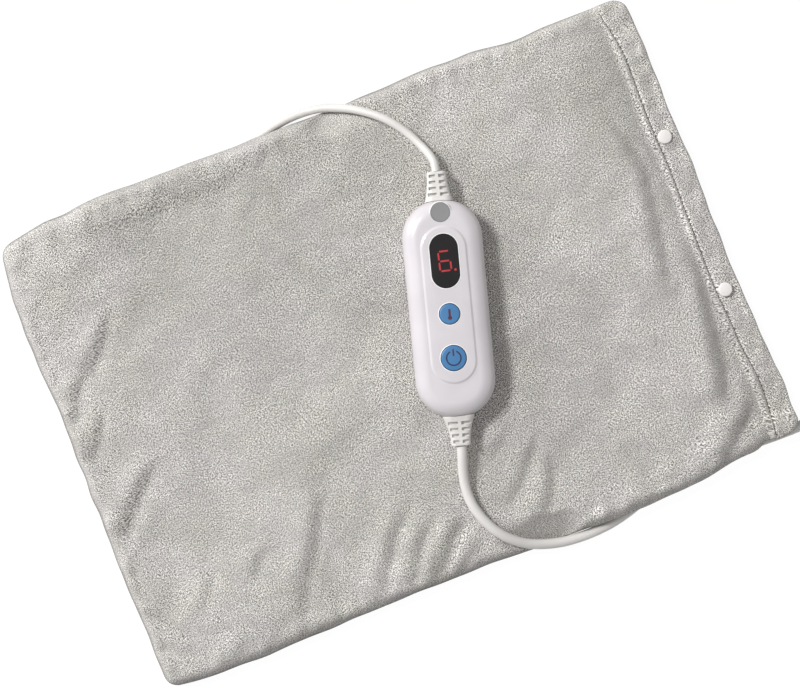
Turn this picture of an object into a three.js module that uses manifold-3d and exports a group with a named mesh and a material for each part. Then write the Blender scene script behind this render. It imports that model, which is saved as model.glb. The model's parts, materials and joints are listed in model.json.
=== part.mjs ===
// Heating pad in a plush slip-on cover, with a hand controller lying on it.
// Millimetres, +Z up, origin under the middle of the pad, +X towards the cover's mouth.

import * as THREE from 'three';
import { mergeVertices } from 'three/addons/utils/BufferGeometryUtils.js';
import Module from 'manifold-3d';

const wasm = await Module();
wasm.setup();

// Fits shared by all pieces
const touchGap = 0.3;
const overrun = 2;
const weldDistance = 1e-4;

// Cover
const coverLength = 444;
const coverWidth = 315;
const plushThickness = 1.4;
const hemWidth = 17;
const hemStep = 3;
const edgeRise = 28;
const cornerShare = 0.006;
const cornerPower = 14;
const sideInsetTopShares = [
  0.042, 0.015, 0.004, 0.006, 0.01, 0.012, 0.01, 0.008, -0.002, -0.001, 0.016, 0.01, 0.009];
const sideInsetBottomShares = [
  0.012, -0.002, -0.001, 0.006, 0.011, 0.013, 0.016, 0.012, 0.01, 0.009, 0.022, 0.052, 0.068];
const endInsetClosedShares = [0.01, 0.011, 0.004, 0.007, 0.006, 0.007, -0.002, -0.001, 0.013];
const endInsetMouthShares = [-0.004, 0.003, 0.013, 0.019, 0.02, 0.017, 0.024, 0.023, 0.03];
const foldEndShares = [0.15, 0.85];
const edgeRows = 4;
const innerRows = 10;
const innerColumns = 15;

// Heating insert
const insertInset = 20;
const insertBottomThickness = 7.6;
const insertTopThickness = 2.4;
const wireDiameter = 1.6;
const wireRuns = 8;
const wireMargin = 22;
const wireEndMargin = 44;
const wireTurnSteps = 5;
const cutoutLength = 14;
const cutoutWidth = 5;
const junctionLength = 16;
const junctionWidth = 9;
const coreDiameter = 0.8;
const coreSpacing = 3;

// Press studs
const studCapRadius = 4.7;
const studCapHeight = 1.7;
const studCrownShares = [0.7, 0.85];
const studFlangeRadius = 4.4;
const studFlangeHeight = 0.6;
const studSocketHeight = 1.7;
const studNubRadius = 1.9;
const studPostRadius = 1.1;
const studBackHeight = 1.1;
const studMouthInset = 10;
const studAcross = [61.5, -48];

// Controller housing
const bodyLength = 138;
const bodyWidth = 51;
const bodyHeight = 22.4;
const bodyCornerEase = 1.5;
const bodyPartHeight = 10;
const bodyWall = 2;
const topRoundAcross = 10.2;
const topRoundRise = 9.4;
const bottomRoundAcross = 7;
const bottomRoundRise = 6;
const plateauHeadInset = 16.2;
const plateauTailInset = 20.8;
const plateauSideInset = 10.4;
const plateauHeight = 0.8;
const plateauBevel = 1.8;
const controllerPlace = [37.7, 8.2];
const controllerTurnDegrees = 74;
const screwEndInset = 16;
const screwSideInset = 13;
const screwRadius = 1.3;
const screwHeadRadius = 2.6;
const screwHeadHeight = 1.8;
const screwLength = 11;
const bossWall = 1.5;

// Window, badge and buttons
const windowLengthShare = 0.3406;
const windowWidthShare = 0.5927;
const windowHeadInset = 5.6;
const windowThickness = 1.3;
const windowLedge = 2;
const badgeRadius = 6.2;
const badgeThickness = 1.1;
const badgeHeadInset = 8;
const badgeRimWidth = 0.8;
const temperaturePlaceShare = -0.0574;
const temperatureRadius = 6.5;
const powerPlaceShare = -0.3347;
const powerRadius = 8;
const buttonProud = 0.5;
const buttonCrown = 0.4;
const buttonCrownShares = [0.5, 0.7];
const buttonSideGap = 0.35;
const buttonFlangeWidth = 1.3;
const buttonFlangeHeight = 1;
const buttonStemRadius = 2;
const buttonTravel = 0.8;

// Circuit board and what is soldered to it
const boardEndRoom = 8.3;
const boardSideRoom = 8;
const boardCorner = 3;
const boardThickness = 1.6;
const boardHeight = 7.4;
const boardPostRadius = 2.4;
const boardPostEndInset = 6;
const boardPostSideInset = 6;
const switchSide = 6.2;
const switchHeight = 3.6;
const plungerRadius = 1.7;
const plungerProud = 1.3;
const plungerFloor = 1.1;
const displayLengthShare = 0.552;
const displayWidthShare = 0.704;
const terminalLength = 5.4;
const terminalWidth = 12;
const terminalHeight = 6.4;
const terminalBore = 1.3;
const chipLength = 12;
const chipWidth = 8;
const chipHeight = 1.6;
const triacWidth = 10;
const triacDepth = 4.6;
const triacHeight = 7;
const filmLength = 13;
const filmWidth = 6;
const filmHeight = 7;
const smoothingRadius = 4;
const smoothingHeight = 7;
const fuseRadius = 2.5;
const fuseLength = 13;
const sidePartShare = 0.6;
const filmPlaceShare = -0.44;
const fusePlaceShare = -0.4;
const triacPlaceShare = -0.08;
const smoothingPlaceShare = 0.24;
const chipPlaceShare = 0.16;

// Cords and their sleeves
const padCordDiameter = 5.4;
const mainsCordDiameter = 6.5;
const padCordSteps = 32;
const mainsCordSteps = 36;
const cordSides = 10;
const sleeveLength = 18.4;
const sleeveTipWidth = 12.4;
const sleeveHeightShare = 0.66;
const sleeveCornerShare = 0.27;
const sleeveRingShares = [0, 0.12, 0.3, 0.55, 0.9, 1];
const padSleeveBase = 17.6;
const mainsSleeveBase = 20.2;
const sleeveRows = 4;
const pocketWidth = 2;
const pocketDepth = 1.9;
const spineWidth = 2.2;
const railWidth = 1.3;
const sleeveTipBand = 1.8;
const sleeveRootBand = 2.8;
const neckRadius = 5;
const neckCollarRadius = 6.6;
const neckCollarLength = 2.4;
const jacketStubLength = 9;
const clampLength = 4;
const clampWall = 1.4;
const clampFoot = 3;
const coreWireDiameter = 1.8;
const coreWireAcross = 1.7;

// Where the pad lead goes into the insert
const entrySleeveLength = 26;
const entrySleeveTipRadius = 3.5;
const entrySleeveBaseRadius = 3.9;
const entrySleeveShares = [0.3, 0.8];
const entryBlockLength = 10;
const entryNeckLength = 8;
const entryNeckWidth = 4;
const entryCollarHeight = 1.2;
const entryCollarOverlap = 1.6;
const liftMargin = 0.9;
const liftFlat = 5.5;
const liftFade = 14.5;

// Mains lead coil, its tie, and the plug
const coilMeanRadius = 38;
const coilTurnsALayer = 3;
const coilTurnGap = 0.5;
const coilClimbDip = 2;
const coilFromMouth = 53;
const coilFromEdge = 18.5;
const coilStartDegrees = 115;
const coilStepsATurn = 24;
const coilSides = 6;
const coilTailLength = 30;
const coilTailSteps = 4;
const tieThickness = 0.8;
const tieWidth = 7;
const tieDegrees = 205;
const plugLength = 34;
const plugWidth = 35.3;
const plugHeight = 13.7;
const plugSleeveLength = 26;
const plugSleeveRadius = 5.2;
const plugSleeveRadiusShares = [0.72, 0.8];
const plugSleeveLengthShares = [0.5, 0.92];
const plugCornerShare = 0.42;
const plugRingShares = [
  { width: 0.42, height: 0.9, along: 0 },
  { width: 0.62, height: 1, along: 0.3 },
  { width: 0.92, height: 1, along: 0.74 },
  { width: 1, height: 1, along: 0.82 },
  { width: 1, height: 1, along: 1 },
];
const pinRadius = 2;
const pinLength = 19;
const pinSpacing = 18.6;
const pinSheathLength = 10;
const pinShankRadius = 1.1;

// Route of the pad lead, from the controller over the long edge and back under the pad
const padLeadPoints = [
  [61.87, 92.5, 25.9], [62.8, 97.6, 25.6], [62.2, 102.9, 24.2], [59.3, 111.2, 21.2], [54.6, 121.4, 19.2],
  [48.4, 130.7, 18.7], [41.7, 138.3, 17.5], [34.5, 144.5, 15.2], [26.9, 150, 12.3], [18.8, 154.3, 9.3],
  [10.4, 157.8, 6.6], [-0.4, 160, 4.1], [-12.9, 160.2, 3], [-23.3, 158.8, 2.8], [-34.2, 156.2, 2.8],
  [-46, 152.6, 2.8], [-58, 149.6, 2.9], [-70, 147.9, 3.3], [-82, 147.2, 3.9], [-94, 147.2, 4.2],
];
const padLeadFirstHidden = 13;
const padLeadPastEdge = 9;
const entryFromClosedEnd = 128;
const entryFromEdge = 10.3;

// Route of the mains lead, from the controller over the other long edge to the coil
const mainsLeadPoints = [
  [13.53, -76.1, 25.9], [12.1, -81.1, 25.4], [9.5, -89.1, 23], [7.3, -97.1, 20.8], [6.2, -105.6, 19.6],
  [6.7, -115.5, 19.3], [9.6, -125.5, 19.2], [14.6, -135.3, 18.5], [21.9, -144.1, 15.8], [31, -150.9, 12],
  [41.2, -155.4, 8.7], [51.7, -158.3, 6.2], [62.8, -159.7, 4.4], [74.4, -159.8, 3.6], [85.5, -158.8, 3.4],
  [97, -156.4, 3.4], [110, -152.4, 3.4], [124, -149, 3.4], [140, -147, 3.4], [158, -145.6, 3.4],
  [176, -144.8, 3.4], [194, -144.5, 3.4], [210, -144.8, 3.4], [224, -144.2, 3.5],
];
const mainsLeadFirstHidden = 14;
const mainsLeadPastEdge = 10;
const exitFromMouth = 2;
const exitFromEdge = 13.3;

// Soft folds of the front panel: start and end as shares of the half sizes, height, half width
const folds = [
  { fromShares: [0.73, 0.64], toShares: [0.79, -0.12], height: 1.6, halfWidth: 13 },
  { fromShares: [0.89, -0.04], toShares: [0.79, -0.68], height: 2.4, halfWidth: 12 },
  { fromShares: [0.88, -0.69], toShares: [0.72, -0.92], height: 2.6, halfWidth: 14 },
  { fromShares: [0.27, -0.47], toShares: [0.09, -0.77], height: 1.8, halfWidth: 14 },
  { fromShares: [-0.02, -0.74], toShares: [-0.19, -0.94], height: 2.4, halfWidth: 14 },
  { fromShares: [-0.15, -0.62], toShares: [-0.34, -0.92], height: 1.8, halfWidth: 14 },
  { fromShares: [-0.35, -0.4], toShares: [-0.58, -0.9], height: 2.6, halfWidth: 15 },
  { fromShares: [-0.79, -0.06], toShares: [-0.96, -0.31], height: 2.2, halfWidth: 14 },
  { fromShares: [-0.77, 0.58], toShares: [-0.87, 0.4], height: 1.4, halfWidth: 13 },
];

// Colours
const plushGrey = new THREE.MeshStandardMaterial({ color: 0xbab6b0, roughness: 0.95 });
const fleeceWhite = new THREE.MeshStandardMaterial({ color: 0xe9e6df, roughness: 0.9 });
const glossWhite = new THREE.MeshStandardMaterial({ color: 0xf1eff0, roughness: 0.25 });
const cordWhite = new THREE.MeshStandardMaterial({ color: 0xefeeec, roughness: 0.4 });
const windowBlack = new THREE.MeshStandardMaterial({ color: 0x14110f, roughness: 0.1 });
const badgeGrey = new THREE.MeshStandardMaterial({ color: 0x8a8b8c, roughness: 0.4 });
const buttonBlue = new THREE.MeshStandardMaterial({ color: 0x4b86b8, roughness: 0.35 });
const boardGreen = new THREE.MeshStandardMaterial({ color: 0x2f6a43, roughness: 0.5 });
const partBlack = new THREE.MeshStandardMaterial({ color: 0x1c1c1e, roughness: 0.5 });
const steelGrey = new THREE.MeshStandardMaterial({ color: 0xb9bbbd, roughness: 0.3, metalness: 1 });
const brassYellow = new THREE.MeshStandardMaterial({ color: 0xc9a65b, roughness: 0.35, metalness: 1 });
const wireRed = new THREE.MeshStandardMaterial({ color: 0xb0432f, roughness: 0.5 });

// Sizes that follow from the driving ones
const halfLength = coverLength / 2;
const halfWidth = coverWidth / 2;
const wireRoom = wireDiameter + 2 * touchGap;
const fullFill = insertBottomThickness + wireRoom + insertTopThickness + touchGap;
const interfaceLow = plushThickness + touchGap + insertBottomThickness;
const interfaceHigh = interfaceLow + wireRoom;
const wireHeight = interfaceLow + wireRoom / 2;
const hemLift = studBackHeight + touchGap;
const studRoom = studFlangeHeight + studSocketHeight + 3 * touchGap;
const standHeight = plushThickness + touchGap + fullFill + plushThickness + touchGap;
const halfBody = bodyLength / 2;
const bodyTopInner = bodyHeight - bodyWall;
const plateauTop = bodyHeight + plateauHeight;
const plateauHead = halfBody - plateauHeadInset;
const plateauLength = bodyLength - plateauHeadInset - plateauTailInset;
const plateauWidth = bodyWidth - 2 * plateauSideInset;
const plateauCentre = plateauHead - plateauLength / 2;
const windowLength = plateauLength * windowLengthShare;
const windowWidth = plateauWidth * windowWidthShare;
const windowCentre = plateauHead - windowHeadInset - windowLength / 2;
const badgeCentre = halfBody - badgeHeadInset;
const boardEnd = halfBody - bodyWall - touchGap - neckCollarLength - jacketStubLength - boardEndRoom;
const boardLength = 2 * boardEnd;
const boardWidth = bodyWidth - 2 * boardSideRoom;
const sidePartAcross = boardWidth / 2 * sidePartShare;
const coreHeight = bodyPartHeight + coreWireDiameter / 2 + touchGap;
const coilCentre = [halfLength + coilFromMouth, -halfWidth - coilFromEdge];
const coilPitch = mainsCordDiameter + coilTurnGap;
const coilLowHeight = tieThickness + touchGap + mainsCordDiameter / 2;
const coilHighHeight = coilLowHeight + coilPitch;

// A closed geometry as a solid for cutting and joining, and back again
function toSolid(geometry) {
  const bare = geometry.clone();
  bare.deleteAttribute('normal');
  bare.deleteAttribute('uv');
  const welded = mergeVertices(bare, weldDistance);
  const corners = welded.index.array;
  const triangles = [];
  for (let i = 0; i < corners.length; i += 3) {
    const [a, b, c] = [corners[i], corners[i + 1], corners[i + 2]];
    if (a !== b && b !== c && c !== a) triangles.push(a, b, c);
  }
  return new wasm.Manifold(new wasm.Mesh({
    numProp: 3,
    vertProperties: Float32Array.from(welded.attributes.position.array),
    triVerts: Uint32Array.from(triangles),
  }));
}

function toGeometry(solid) {
  const mesh = solid.getMesh();
  const geometry = new THREE.BufferGeometry();
  geometry.setAttribute('position', new THREE.BufferAttribute(Float32Array.from(mesh.vertProperties), 3));
  geometry.setIndex(new THREE.BufferAttribute(Uint32Array.from(mesh.triVerts), 1));
  return geometry;
}

function joined(first, ...others) {
  return others.reduce((whole, piece) => whole.add(toSolid(piece)), toSolid(first));
}

function cut(solid, ...tools) {
  return tools.reduce((rest, tool) => rest.subtract(toSolid(tool)), solid);
}

// A closed body through rings of equal count, each ring seen anticlockwise from the far end
function loft(rings) {
  const count = rings[0].length;
  const positions = rings.flat(2);
  const triangles = [];
  for (let r = 0; r + 1 < rings.length; r++) {
    for (let i = 0; i < count; i++) {
      const j = (i + 1) % count;
      const [a, b, c, d] = [r * count + i, r * count + j, (r + 1) * count + j, (r + 1) * count + i];
      triangles.push(a, b, c, a, c, d);
    }
  }
  const last = (rings.length - 1) * count;
  for (let i = 1; i + 1 < count; i++) {
    triangles.push(0, i + 1, i, last, last + i, last + i + 1);
  }
  const geometry = new THREE.BufferGeometry();
  geometry.setAttribute('position', new THREE.Float32BufferAttribute(positions, 3));
  geometry.setIndex(triangles);
  return geometry;
}

// One ring of a rectangle with round corners, at a height
function roundedRing(length, width, corner, height, centre = 0, steps = 6) {
  const points = [];
  for (let quarter = 0; quarter < 4; quarter++) {
    const sideX = quarter === 0 || quarter === 3 ? 1 : -1;
    const sideY = quarter < 2 ? 1 : -1;
    for (let i = 0; i <= steps; i++) {
      const angle = (quarter + i / steps) * Math.PI / 2;
      points.push([
        centre + sideX * (length / 2 - corner) + corner * Math.cos(angle),
        sideY * (width / 2 - corner) + corner * Math.sin(angle),
        height,
      ]);
    }
  }
  return points;
}

function roundedPlate(length, width, corner, low, high, centre = 0) {
  return loft([
    roundedRing(length, width, corner, low, centre),
    roundedRing(length, width, corner, high, centre),
  ]);
}

function block(x0, x1, y0, y1, z0, z1) {
  const box = new THREE.BoxGeometry(x1 - x0, y1 - y0, z1 - z0);
  return box.translate((x0 + x1) / 2, (y0 + y1) / 2, (z0 + z1) / 2);
}

function post(radius, low, high, x = 0, y = 0, sides = 12) {
  const cylinder = new THREE.CylinderGeometry(radius, radius, high - low, sides);
  return cylinder.rotateX(Math.PI / 2).translate(x, y, (low + high) / 2);
}

// A cylinder lying along X
function rod(radius, from, to, y, z, sides = 12) {
  const cylinder = new THREE.CylinderGeometry(radius, radius, to - from, sides);
  return cylinder.rotateZ(-Math.PI / 2).translate((from + to) / 2, y, z);
}

// A turned piece about Z, from a profile of [radius, height] that starts and ends on the axis
function turned(profile, sides = 14) {
  const points = profile.map(([radius, height]) => new THREE.Vector2(radius, height));
  return new THREE.LatheGeometry(points, sides).rotateX(Math.PI / 2);
}

// A round tube along a route, by extrusion
function cord(points, diameter, steps, sides) {
  const section = new THREE.Shape();
  for (let i = 0; i < sides; i++) {
    const angle = 2 * Math.PI * i / sides;
    section[i ? 'lineTo' : 'moveTo'](diameter / 2 * Math.cos(angle), diameter / 2 * Math.sin(angle));
  }
  const extrudePath = new THREE.CatmullRomCurve3(points.map((point) => new THREE.Vector3(...point)));
  return new THREE.ExtrudeGeometry(section, { steps, extrudePath });
}

const root = new THREE.Group();
const controller = new THREE.Group();
controller.position.set(...controllerPlace, standHeight);
controller.rotation.z = THREE.MathUtils.degToRad(controllerTurnDegrees);
root.add(controller);

function place(group, name, shape, material) {
  const geometry = shape.isBufferGeometry ? shape : toGeometry(shape);
  const mesh = new THREE.Mesh(geometry, material);
  mesh.name = name;
  group.add(mesh);
  return mesh;
}

// Shape of the pad

function alongShares(shares, along) {
  const station = THREE.MathUtils.clamp((along + 1) / 2, 0, 1) * (shares.length - 1);
  const index = Math.min(Math.floor(station), shares.length - 2);
  const blend = THREE.MathUtils.smoothstep(station - index, 0, 1);
  return THREE.MathUtils.lerp(shares[index], shares[index + 1], blend);
}

// Where a point of the flat rectangle lies once its edges wander and its corners are drawn in
function onCover(x, y) {
  const u = x / halfLength;
  const v = y / halfWidth;
  const endInset = alongShares(u > 0 ? endInsetMouthShares : endInsetClosedShares, v);
  const sideInset = alongShares(v > 0 ? sideInsetTopShares : sideInsetBottomShares, u);
  return [
    x * (1 - endInset - cornerShare * Math.abs(v) ** cornerPower),
    y * (1 - sideInset - cornerShare * Math.abs(u) ** cornerPower),
  ];
}

function distanceToSegment(x, y, from, to) {
  const [dx, dy] = [to[0] - from[0], to[1] - from[1]];
  const along = THREE.MathUtils.clamp(((x - from[0]) * dx + (y - from[1]) * dy) / (dx * dx + dy * dy), 0, 1);
  return [Math.hypot(x - from[0] - along * dx, y - from[1] - along * dy), along];
}

// A route whose start goes with the controller and whose far end goes with the cover
function tiedRoute(points, start, end, pastEdge) {
  const startMove = start.map((value, axis) => value - points[0][axis]);
  const endMove = end.map((value, axis) => value - points.at(-1)[axis]);
  return points.map((point, i) => {
    const share = THREE.MathUtils.smoothstep(i, 0, pastEdge);
    return point.map((value, axis) => value + THREE.MathUtils.lerp(startMove[axis], endMove[axis] ?? 0, share));
  });
}

function sleeveTip(side) {
  const turn = THREE.MathUtils.degToRad(controllerTurnDegrees);
  const reach = side * (halfBody + sleeveLength + touchGap);
  const [x, y] = controllerPlace;
  return [x + reach * Math.cos(turn), y + reach * Math.sin(turn), standHeight + bodyPartHeight];
}

const padLeadRoute = tiedRoute(padLeadPoints, sleeveTip(1),
  [entryFromClosedEnd - halfLength, halfWidth - entryFromEdge], padLeadPastEdge);
const mainsLeadRoute = tiedRoute(mainsLeadPoints, sleeveTip(-1),
  [halfLength + exitFromMouth, exitFromEdge - halfWidth], mainsLeadPastEdge);

// The cords that run under the pad: for each, places and the height that clears it there
function hiddenRun(route, firstHidden, diameter) {
  return route.slice(firstHidden).map(([x, y, z]) => [x, y, z + diameter / 2 + liftMargin]);
}
const entryTip = padLeadRoute[padLeadRoute.length - 1];
const entryAxisHeight = entryTip[2];
const entryBlockEnd = entryTip[0] - touchGap - entrySleeveLength - entryBlockLength;
const entryClearHeight = entryAxisHeight + entrySleeveBaseRadius + liftMargin;
const hiddenRuns = [
  [...hiddenRun(padLeadRoute, padLeadFirstHidden, padCordDiameter),
    [entryBlockEnd - entrySleeveLength, entryTip[1], entryClearHeight]],
  hiddenRun(mainsLeadRoute, mainsLeadFirstHidden, mainsCordDiameter),
];

function liftOverCords(x, y) {
  let lift = 0;
  for (const run of hiddenRuns) {
    for (let i = 0; i + 1 < run.length; i++) {
      const [distance, along] = distanceToSegment(x, y, run[i], run[i + 1]);
      const clearing = THREE.MathUtils.lerp(run[i][2], run[i + 1][2], along);
      const fade = 1 - THREE.MathUtils.smoothstep(distance, liftFlat, liftFlat + liftFade);
      lift = Math.max(lift, clearing * fade);
    }
  }
  return lift;
}

function rise(distance) {
  return 1 - (1 - THREE.MathUtils.clamp(distance / edgeRise, 0, 1)) ** 2;
}

function foldHeight(x, y) {
  let height = 0;
  for (const fold of folds) {
    const from = [fold.fromShares[0] * halfLength, fold.fromShares[1] * halfWidth];
    const to = [fold.toShares[0] * halfLength, fold.toShares[1] * halfWidth];
    const [distance, along] = distanceToSegment(x, y, from, to);
    const crest = fold.height * Math.sin(Math.PI * THREE.MathUtils.clamp(along, ...foldEndShares));
    height = Math.max(height, crest * (1 - THREE.MathUtils.smoothstep(distance, 0, fold.halfWidth)));
  }
  return height;
}

// Heights of the panels' faces over a point of the flat rectangle
function padHeights(x, y) {
  const [coverX, coverY] = onCover(x, y);
  const mouthDistance = halfLength - x;
  const hemShare = 1 - THREE.MathUtils.clamp((mouthDistance - hemWidth) / hemStep, 0, 1);
  const pastHem = THREE.MathUtils.clamp(1 - (mouthDistance - hemWidth) / insertInset, 0, 1);
  const mouthLift = hemLift * pastHem;
  const lift = Math.max(liftOverCords(coverX, coverY), mouthLift);
  const cloth = plushThickness * (1 + hemShare);
  const endFill = THREE.MathUtils.lerp(studRoom, fullFill, rise(mouthDistance - hemWidth));
  const fill = endFill * rise(halfWidth - Math.abs(y)) * rise(x + halfLength);
  const frontLow = cloth + touchGap + mouthLift + Math.hypot(fill, lift - mouthLift);
  return { backLow: lift, backHigh: lift + cloth, frontLow, frontHigh: frontLow + cloth };
}

// Grid lines of the pad, close together near the edges
function gridLines(start, end, count) {
  return Array.from({ length: count + 1 }, (_, i) => THREE.MathUtils.lerp(start, end, i / count));
}
const insertHalfWidth = halfWidth - insertInset;
const insertLeft = -halfLength + insertInset;
const insertRight = halfLength - hemWidth - insertInset;
const insertRows = gridLines(-insertHalfWidth, insertHalfWidth, innerRows);
const insertColumns = gridLines(insertLeft, insertRight, innerColumns);
const coverRows = [
  ...gridLines(-halfWidth, -insertHalfWidth, edgeRows).slice(0, -1),
  ...insertRows,
  ...gridLines(insertHalfWidth, halfWidth, edgeRows).slice(1),
];
const coverColumns = [
  ...gridLines(-halfLength, insertLeft, edgeRows).slice(0, -1),
  ...insertColumns,
  halfLength - hemWidth - insertInset / 2,
  halfLength - hemWidth - hemStep,
  halfLength - hemWidth,
  halfLength - hemWidth / 2,
  halfLength,
];

// A sheet between two height functions over the grid
function sheet(columns, rows, low, high) {
  const positions = [];
  for (const height of [low, high]) {
    for (const y of rows) {
      for (const x of columns) positions.push(...onCover(x, y), height(x, y));
    }
  }
  const layerCount = columns.length * rows.length;
  const at = (column, row, layer) => layer * layerCount + row * columns.length + column;
  const triangles = [];
  const quad = (a, b, c, d) => triangles.push(a, b, c, a, c, d);
  for (let row = 0; row + 1 < rows.length; row++) {
    for (let column = 0; column + 1 < columns.length; column++) {
      quad(at(column, row, 1), at(column + 1, row, 1), at(column + 1, row + 1, 1), at(column, row + 1, 1));
      quad(at(column, row, 0), at(column, row + 1, 0), at(column + 1, row + 1, 0), at(column + 1, row, 0));
    }
  }
  const lastRow = rows.length - 1;
  const lastColumn = columns.length - 1;
  for (let column = 0; column < lastColumn; column++) {
    quad(at(column, 0, 0), at(column + 1, 0, 0), at(column + 1, 0, 1), at(column, 0, 1));
    const next = column + 1;
    quad(at(next, lastRow, 0), at(column, lastRow, 0), at(column, lastRow, 1), at(next, lastRow, 1));
  }
  for (let row = 0; row < lastRow; row++) {
    quad(at(0, row + 1, 0), at(0, row, 0), at(0, row, 1), at(0, row + 1, 1));
    const next = row + 1;
    quad(at(lastColumn, row, 0), at(lastColumn, next, 0), at(lastColumn, next, 1), at(lastColumn, row, 1));
  }
  const geometry = new THREE.BufferGeometry();
  geometry.setAttribute('position', new THREE.Float32BufferAttribute(positions, 3));
  geometry.setIndex(triangles);
  return geometry;
}

// Cover, with holes for the studs' posts and a slit for the lead's entry
const studPlaces = studAcross.map((y) => onCover(halfLength - studMouthInset, y));
const entryBlockStart = entryBlockEnd + entryBlockLength;
const entryNeckX = [
  (entryBlockEnd + entryBlockStart - entryNeckLength) / 2,
  (entryBlockEnd + entryBlockStart + entryNeckLength) / 2,
];
const entryNeckLow = entryTip[1] - entrySleeveBaseRadius - entryNeckWidth / 4;
const entryNeckY = [entryNeckLow, entryNeckLow + entryNeckWidth];

function makeCover() {
  const front = sheet(coverColumns, coverRows,
    (x, y) => padHeights(x, y).frontLow + foldHeight(x, y),
    (x, y) => padHeights(x, y).frontHigh + foldHeight(x, y));
  const back = sheet(coverColumns, coverRows,
    (x, y) => padHeights(x, y).backLow,
    (x, y) => padHeights(x, y).backHigh);
  const holes = studPlaces.map(([x, y]) => post(studPostRadius + touchGap, -overrun, standHeight, x, y, 8));
  const slit = block(
    entryNeckX[0] - touchGap, entryNeckX[1] + touchGap,
    entryNeckY[0] - touchGap, entryNeckY[1] + touchGap, -overrun, standHeight);
  place(root, 'cover_front', cut(toSolid(front), ...holes), plushGrey);
  place(root, 'cover_back', cut(toSolid(back), ...holes, slit), plushGrey);
}

// Heating insert: two padded layers with the wire between them
function makeInsert() {
  const bottom = sheet(insertColumns, insertRows,
    (x, y) => padHeights(x, y).backHigh + touchGap, () => interfaceLow);
  const top = sheet(insertColumns, insertRows,
    () => interfaceHigh, (x, y) => padHeights(x, y).frontLow - touchGap);
  place(root, 'insert_bottom', bottom, fleeceWhite);
  place(root, 'insert_top', top, fleeceWhite);

  const firstY = insertHalfWidth - wireMargin;
  const spacing = 2 * firstY / (wireRuns - 1);
  const left = insertLeft + wireEndMargin;
  const right = insertRight - wireMargin - spacing / 2;
  const points = [];
  for (let run = 0; run < wireRuns; run++) {
    const y = firstY - run * spacing;
    const outward = run % 2 === 0;
    const [start, end] = outward ? [left, right] : [right, left];
    points.push([start, y, wireHeight]);
    if (run + 1 < wireRuns) {
      const side = outward ? 1 : -1;
      for (let i = 0; i < wireTurnSteps; i++) {
        const angle = Math.PI * i / wireTurnSteps;
        points.push([
          end + side * spacing / 2 * Math.sin(angle),
          y - spacing / 2 * (1 - Math.cos(angle)),
          wireHeight,
        ]);
      }
    } else {
      points.push([end, y, wireHeight]);
    }
  }
  place(root, 'heating_wire', sweep(points, wireDiameter / 2, 6), wireRed);

  const cutoutEnd = left - touchGap;
  place(root, 'thermal_cutout', block(
    cutoutEnd - cutoutLength, cutoutEnd, -firstY - cutoutWidth / 2, -firstY + cutoutWidth / 2,
    interfaceLow + touchGap, interfaceHigh - touchGap), partBlack);
  const junctionRight = left - touchGap;
  const junctionLeft = junctionRight - junctionLength;
  place(root, 'lead_junction', block(
    junctionLeft, junctionRight, firstY - junctionWidth / 2, firstY + junctionWidth / 2,
    interfaceLow + touchGap, interfaceHigh - touchGap), partBlack);
  const returnX = cutoutEnd - cutoutLength - touchGap;
  place(root, 'return_wire', sweep([
    [returnX, -firstY, wireHeight],
    [returnX - wireDiameter, -firstY, wireHeight],
    [returnX - wireMargin / 2, -firstY + wireMargin / 2, wireHeight],
    [returnX - wireMargin / 2, firstY - wireMargin / 2, wireHeight],
    [junctionLeft - touchGap - wireDiameter, firstY, wireHeight],
    [junctionLeft - touchGap, firstY, wireHeight],
  ], wireDiameter / 2, 6), wireRed);
}

// The pad lead's two cores, from the entry's collar between the insert's layers to the junction
function makeInsertCores() {
  const collarFace = entryNeckY[0] - entryCollarOverlap / 2 - touchGap;
  const collarMiddle = entryClearHeight + plushThickness + touchGap + entryCollarHeight / 2;
  const edge = onCover(entryNeckX[0], insertHalfWidth)[1];
  const junctionTop = insertHalfWidth - wireMargin + junctionWidth / 2;
  const junctionX = insertLeft + wireEndMargin - touchGap - junctionLength / 2;
  const lane = (junctionTop + edge) / 2;
  [-1, 1].forEach((hand, index) => {
    const offset = hand * coreSpacing / 2;
    const x = (entryNeckX[0] + entryNeckX[1]) / 2 + offset;
    const turnX = junctionX + offset;
    const laneY = lane - offset;
    place(root, `insert_core_${index + 1}`, sweep([
      [x, collarFace, collarMiddle],
      [x, collarFace - coreDiameter, collarMiddle],
      [x, edge, wireHeight + touchGap / 2],
      [x, laneY + coreSpacing, wireHeight],
      [x - coreSpacing, laneY, wireHeight],
      [turnX + coreSpacing, laneY, wireHeight],
      [turnX, laneY - coreSpacing, wireHeight],
      [turnX, junctionTop + touchGap, wireHeight],
    ], coreDiameter / 2, 6), wireRed);
  });
}

// A tube through given points, its rings square to the mean direction at each
function sweep(points, radius, sides) {
  const route = points.map((point) => new THREE.Vector3(...point));
  const rings = [];
  const normal = new THREE.Vector3();
  const previous = new THREE.Vector3();
  route.forEach((point, i) => {
    const ahead = route[Math.min(i + 1, route.length - 1)];
    const behind = route[Math.max(i - 1, 0)];
    const tangent = ahead.clone().sub(behind).normalize();
    if (i === 0) {
      normal.set(0, 0, 1).cross(tangent).normalize();
    } else {
      normal.applyQuaternion(new THREE.Quaternion().setFromUnitVectors(previous, tangent));
      normal.addScaledVector(tangent, -normal.dot(tangent)).normalize();
    }
    previous.copy(tangent);
    const binormal = tangent.clone().cross(normal);
    const ring = [];
    for (let side = 0; side < sides; side++) {
      const angle = 2 * Math.PI * side / sides;
      const spot = point.clone()
        .addScaledVector(normal, radius * Math.cos(angle))
        .addScaledVector(binormal, radius * Math.sin(angle));
      ring.push(spot.toArray());
    }
    rings.push(ring);
  });
  return loft(rings);
}

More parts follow.
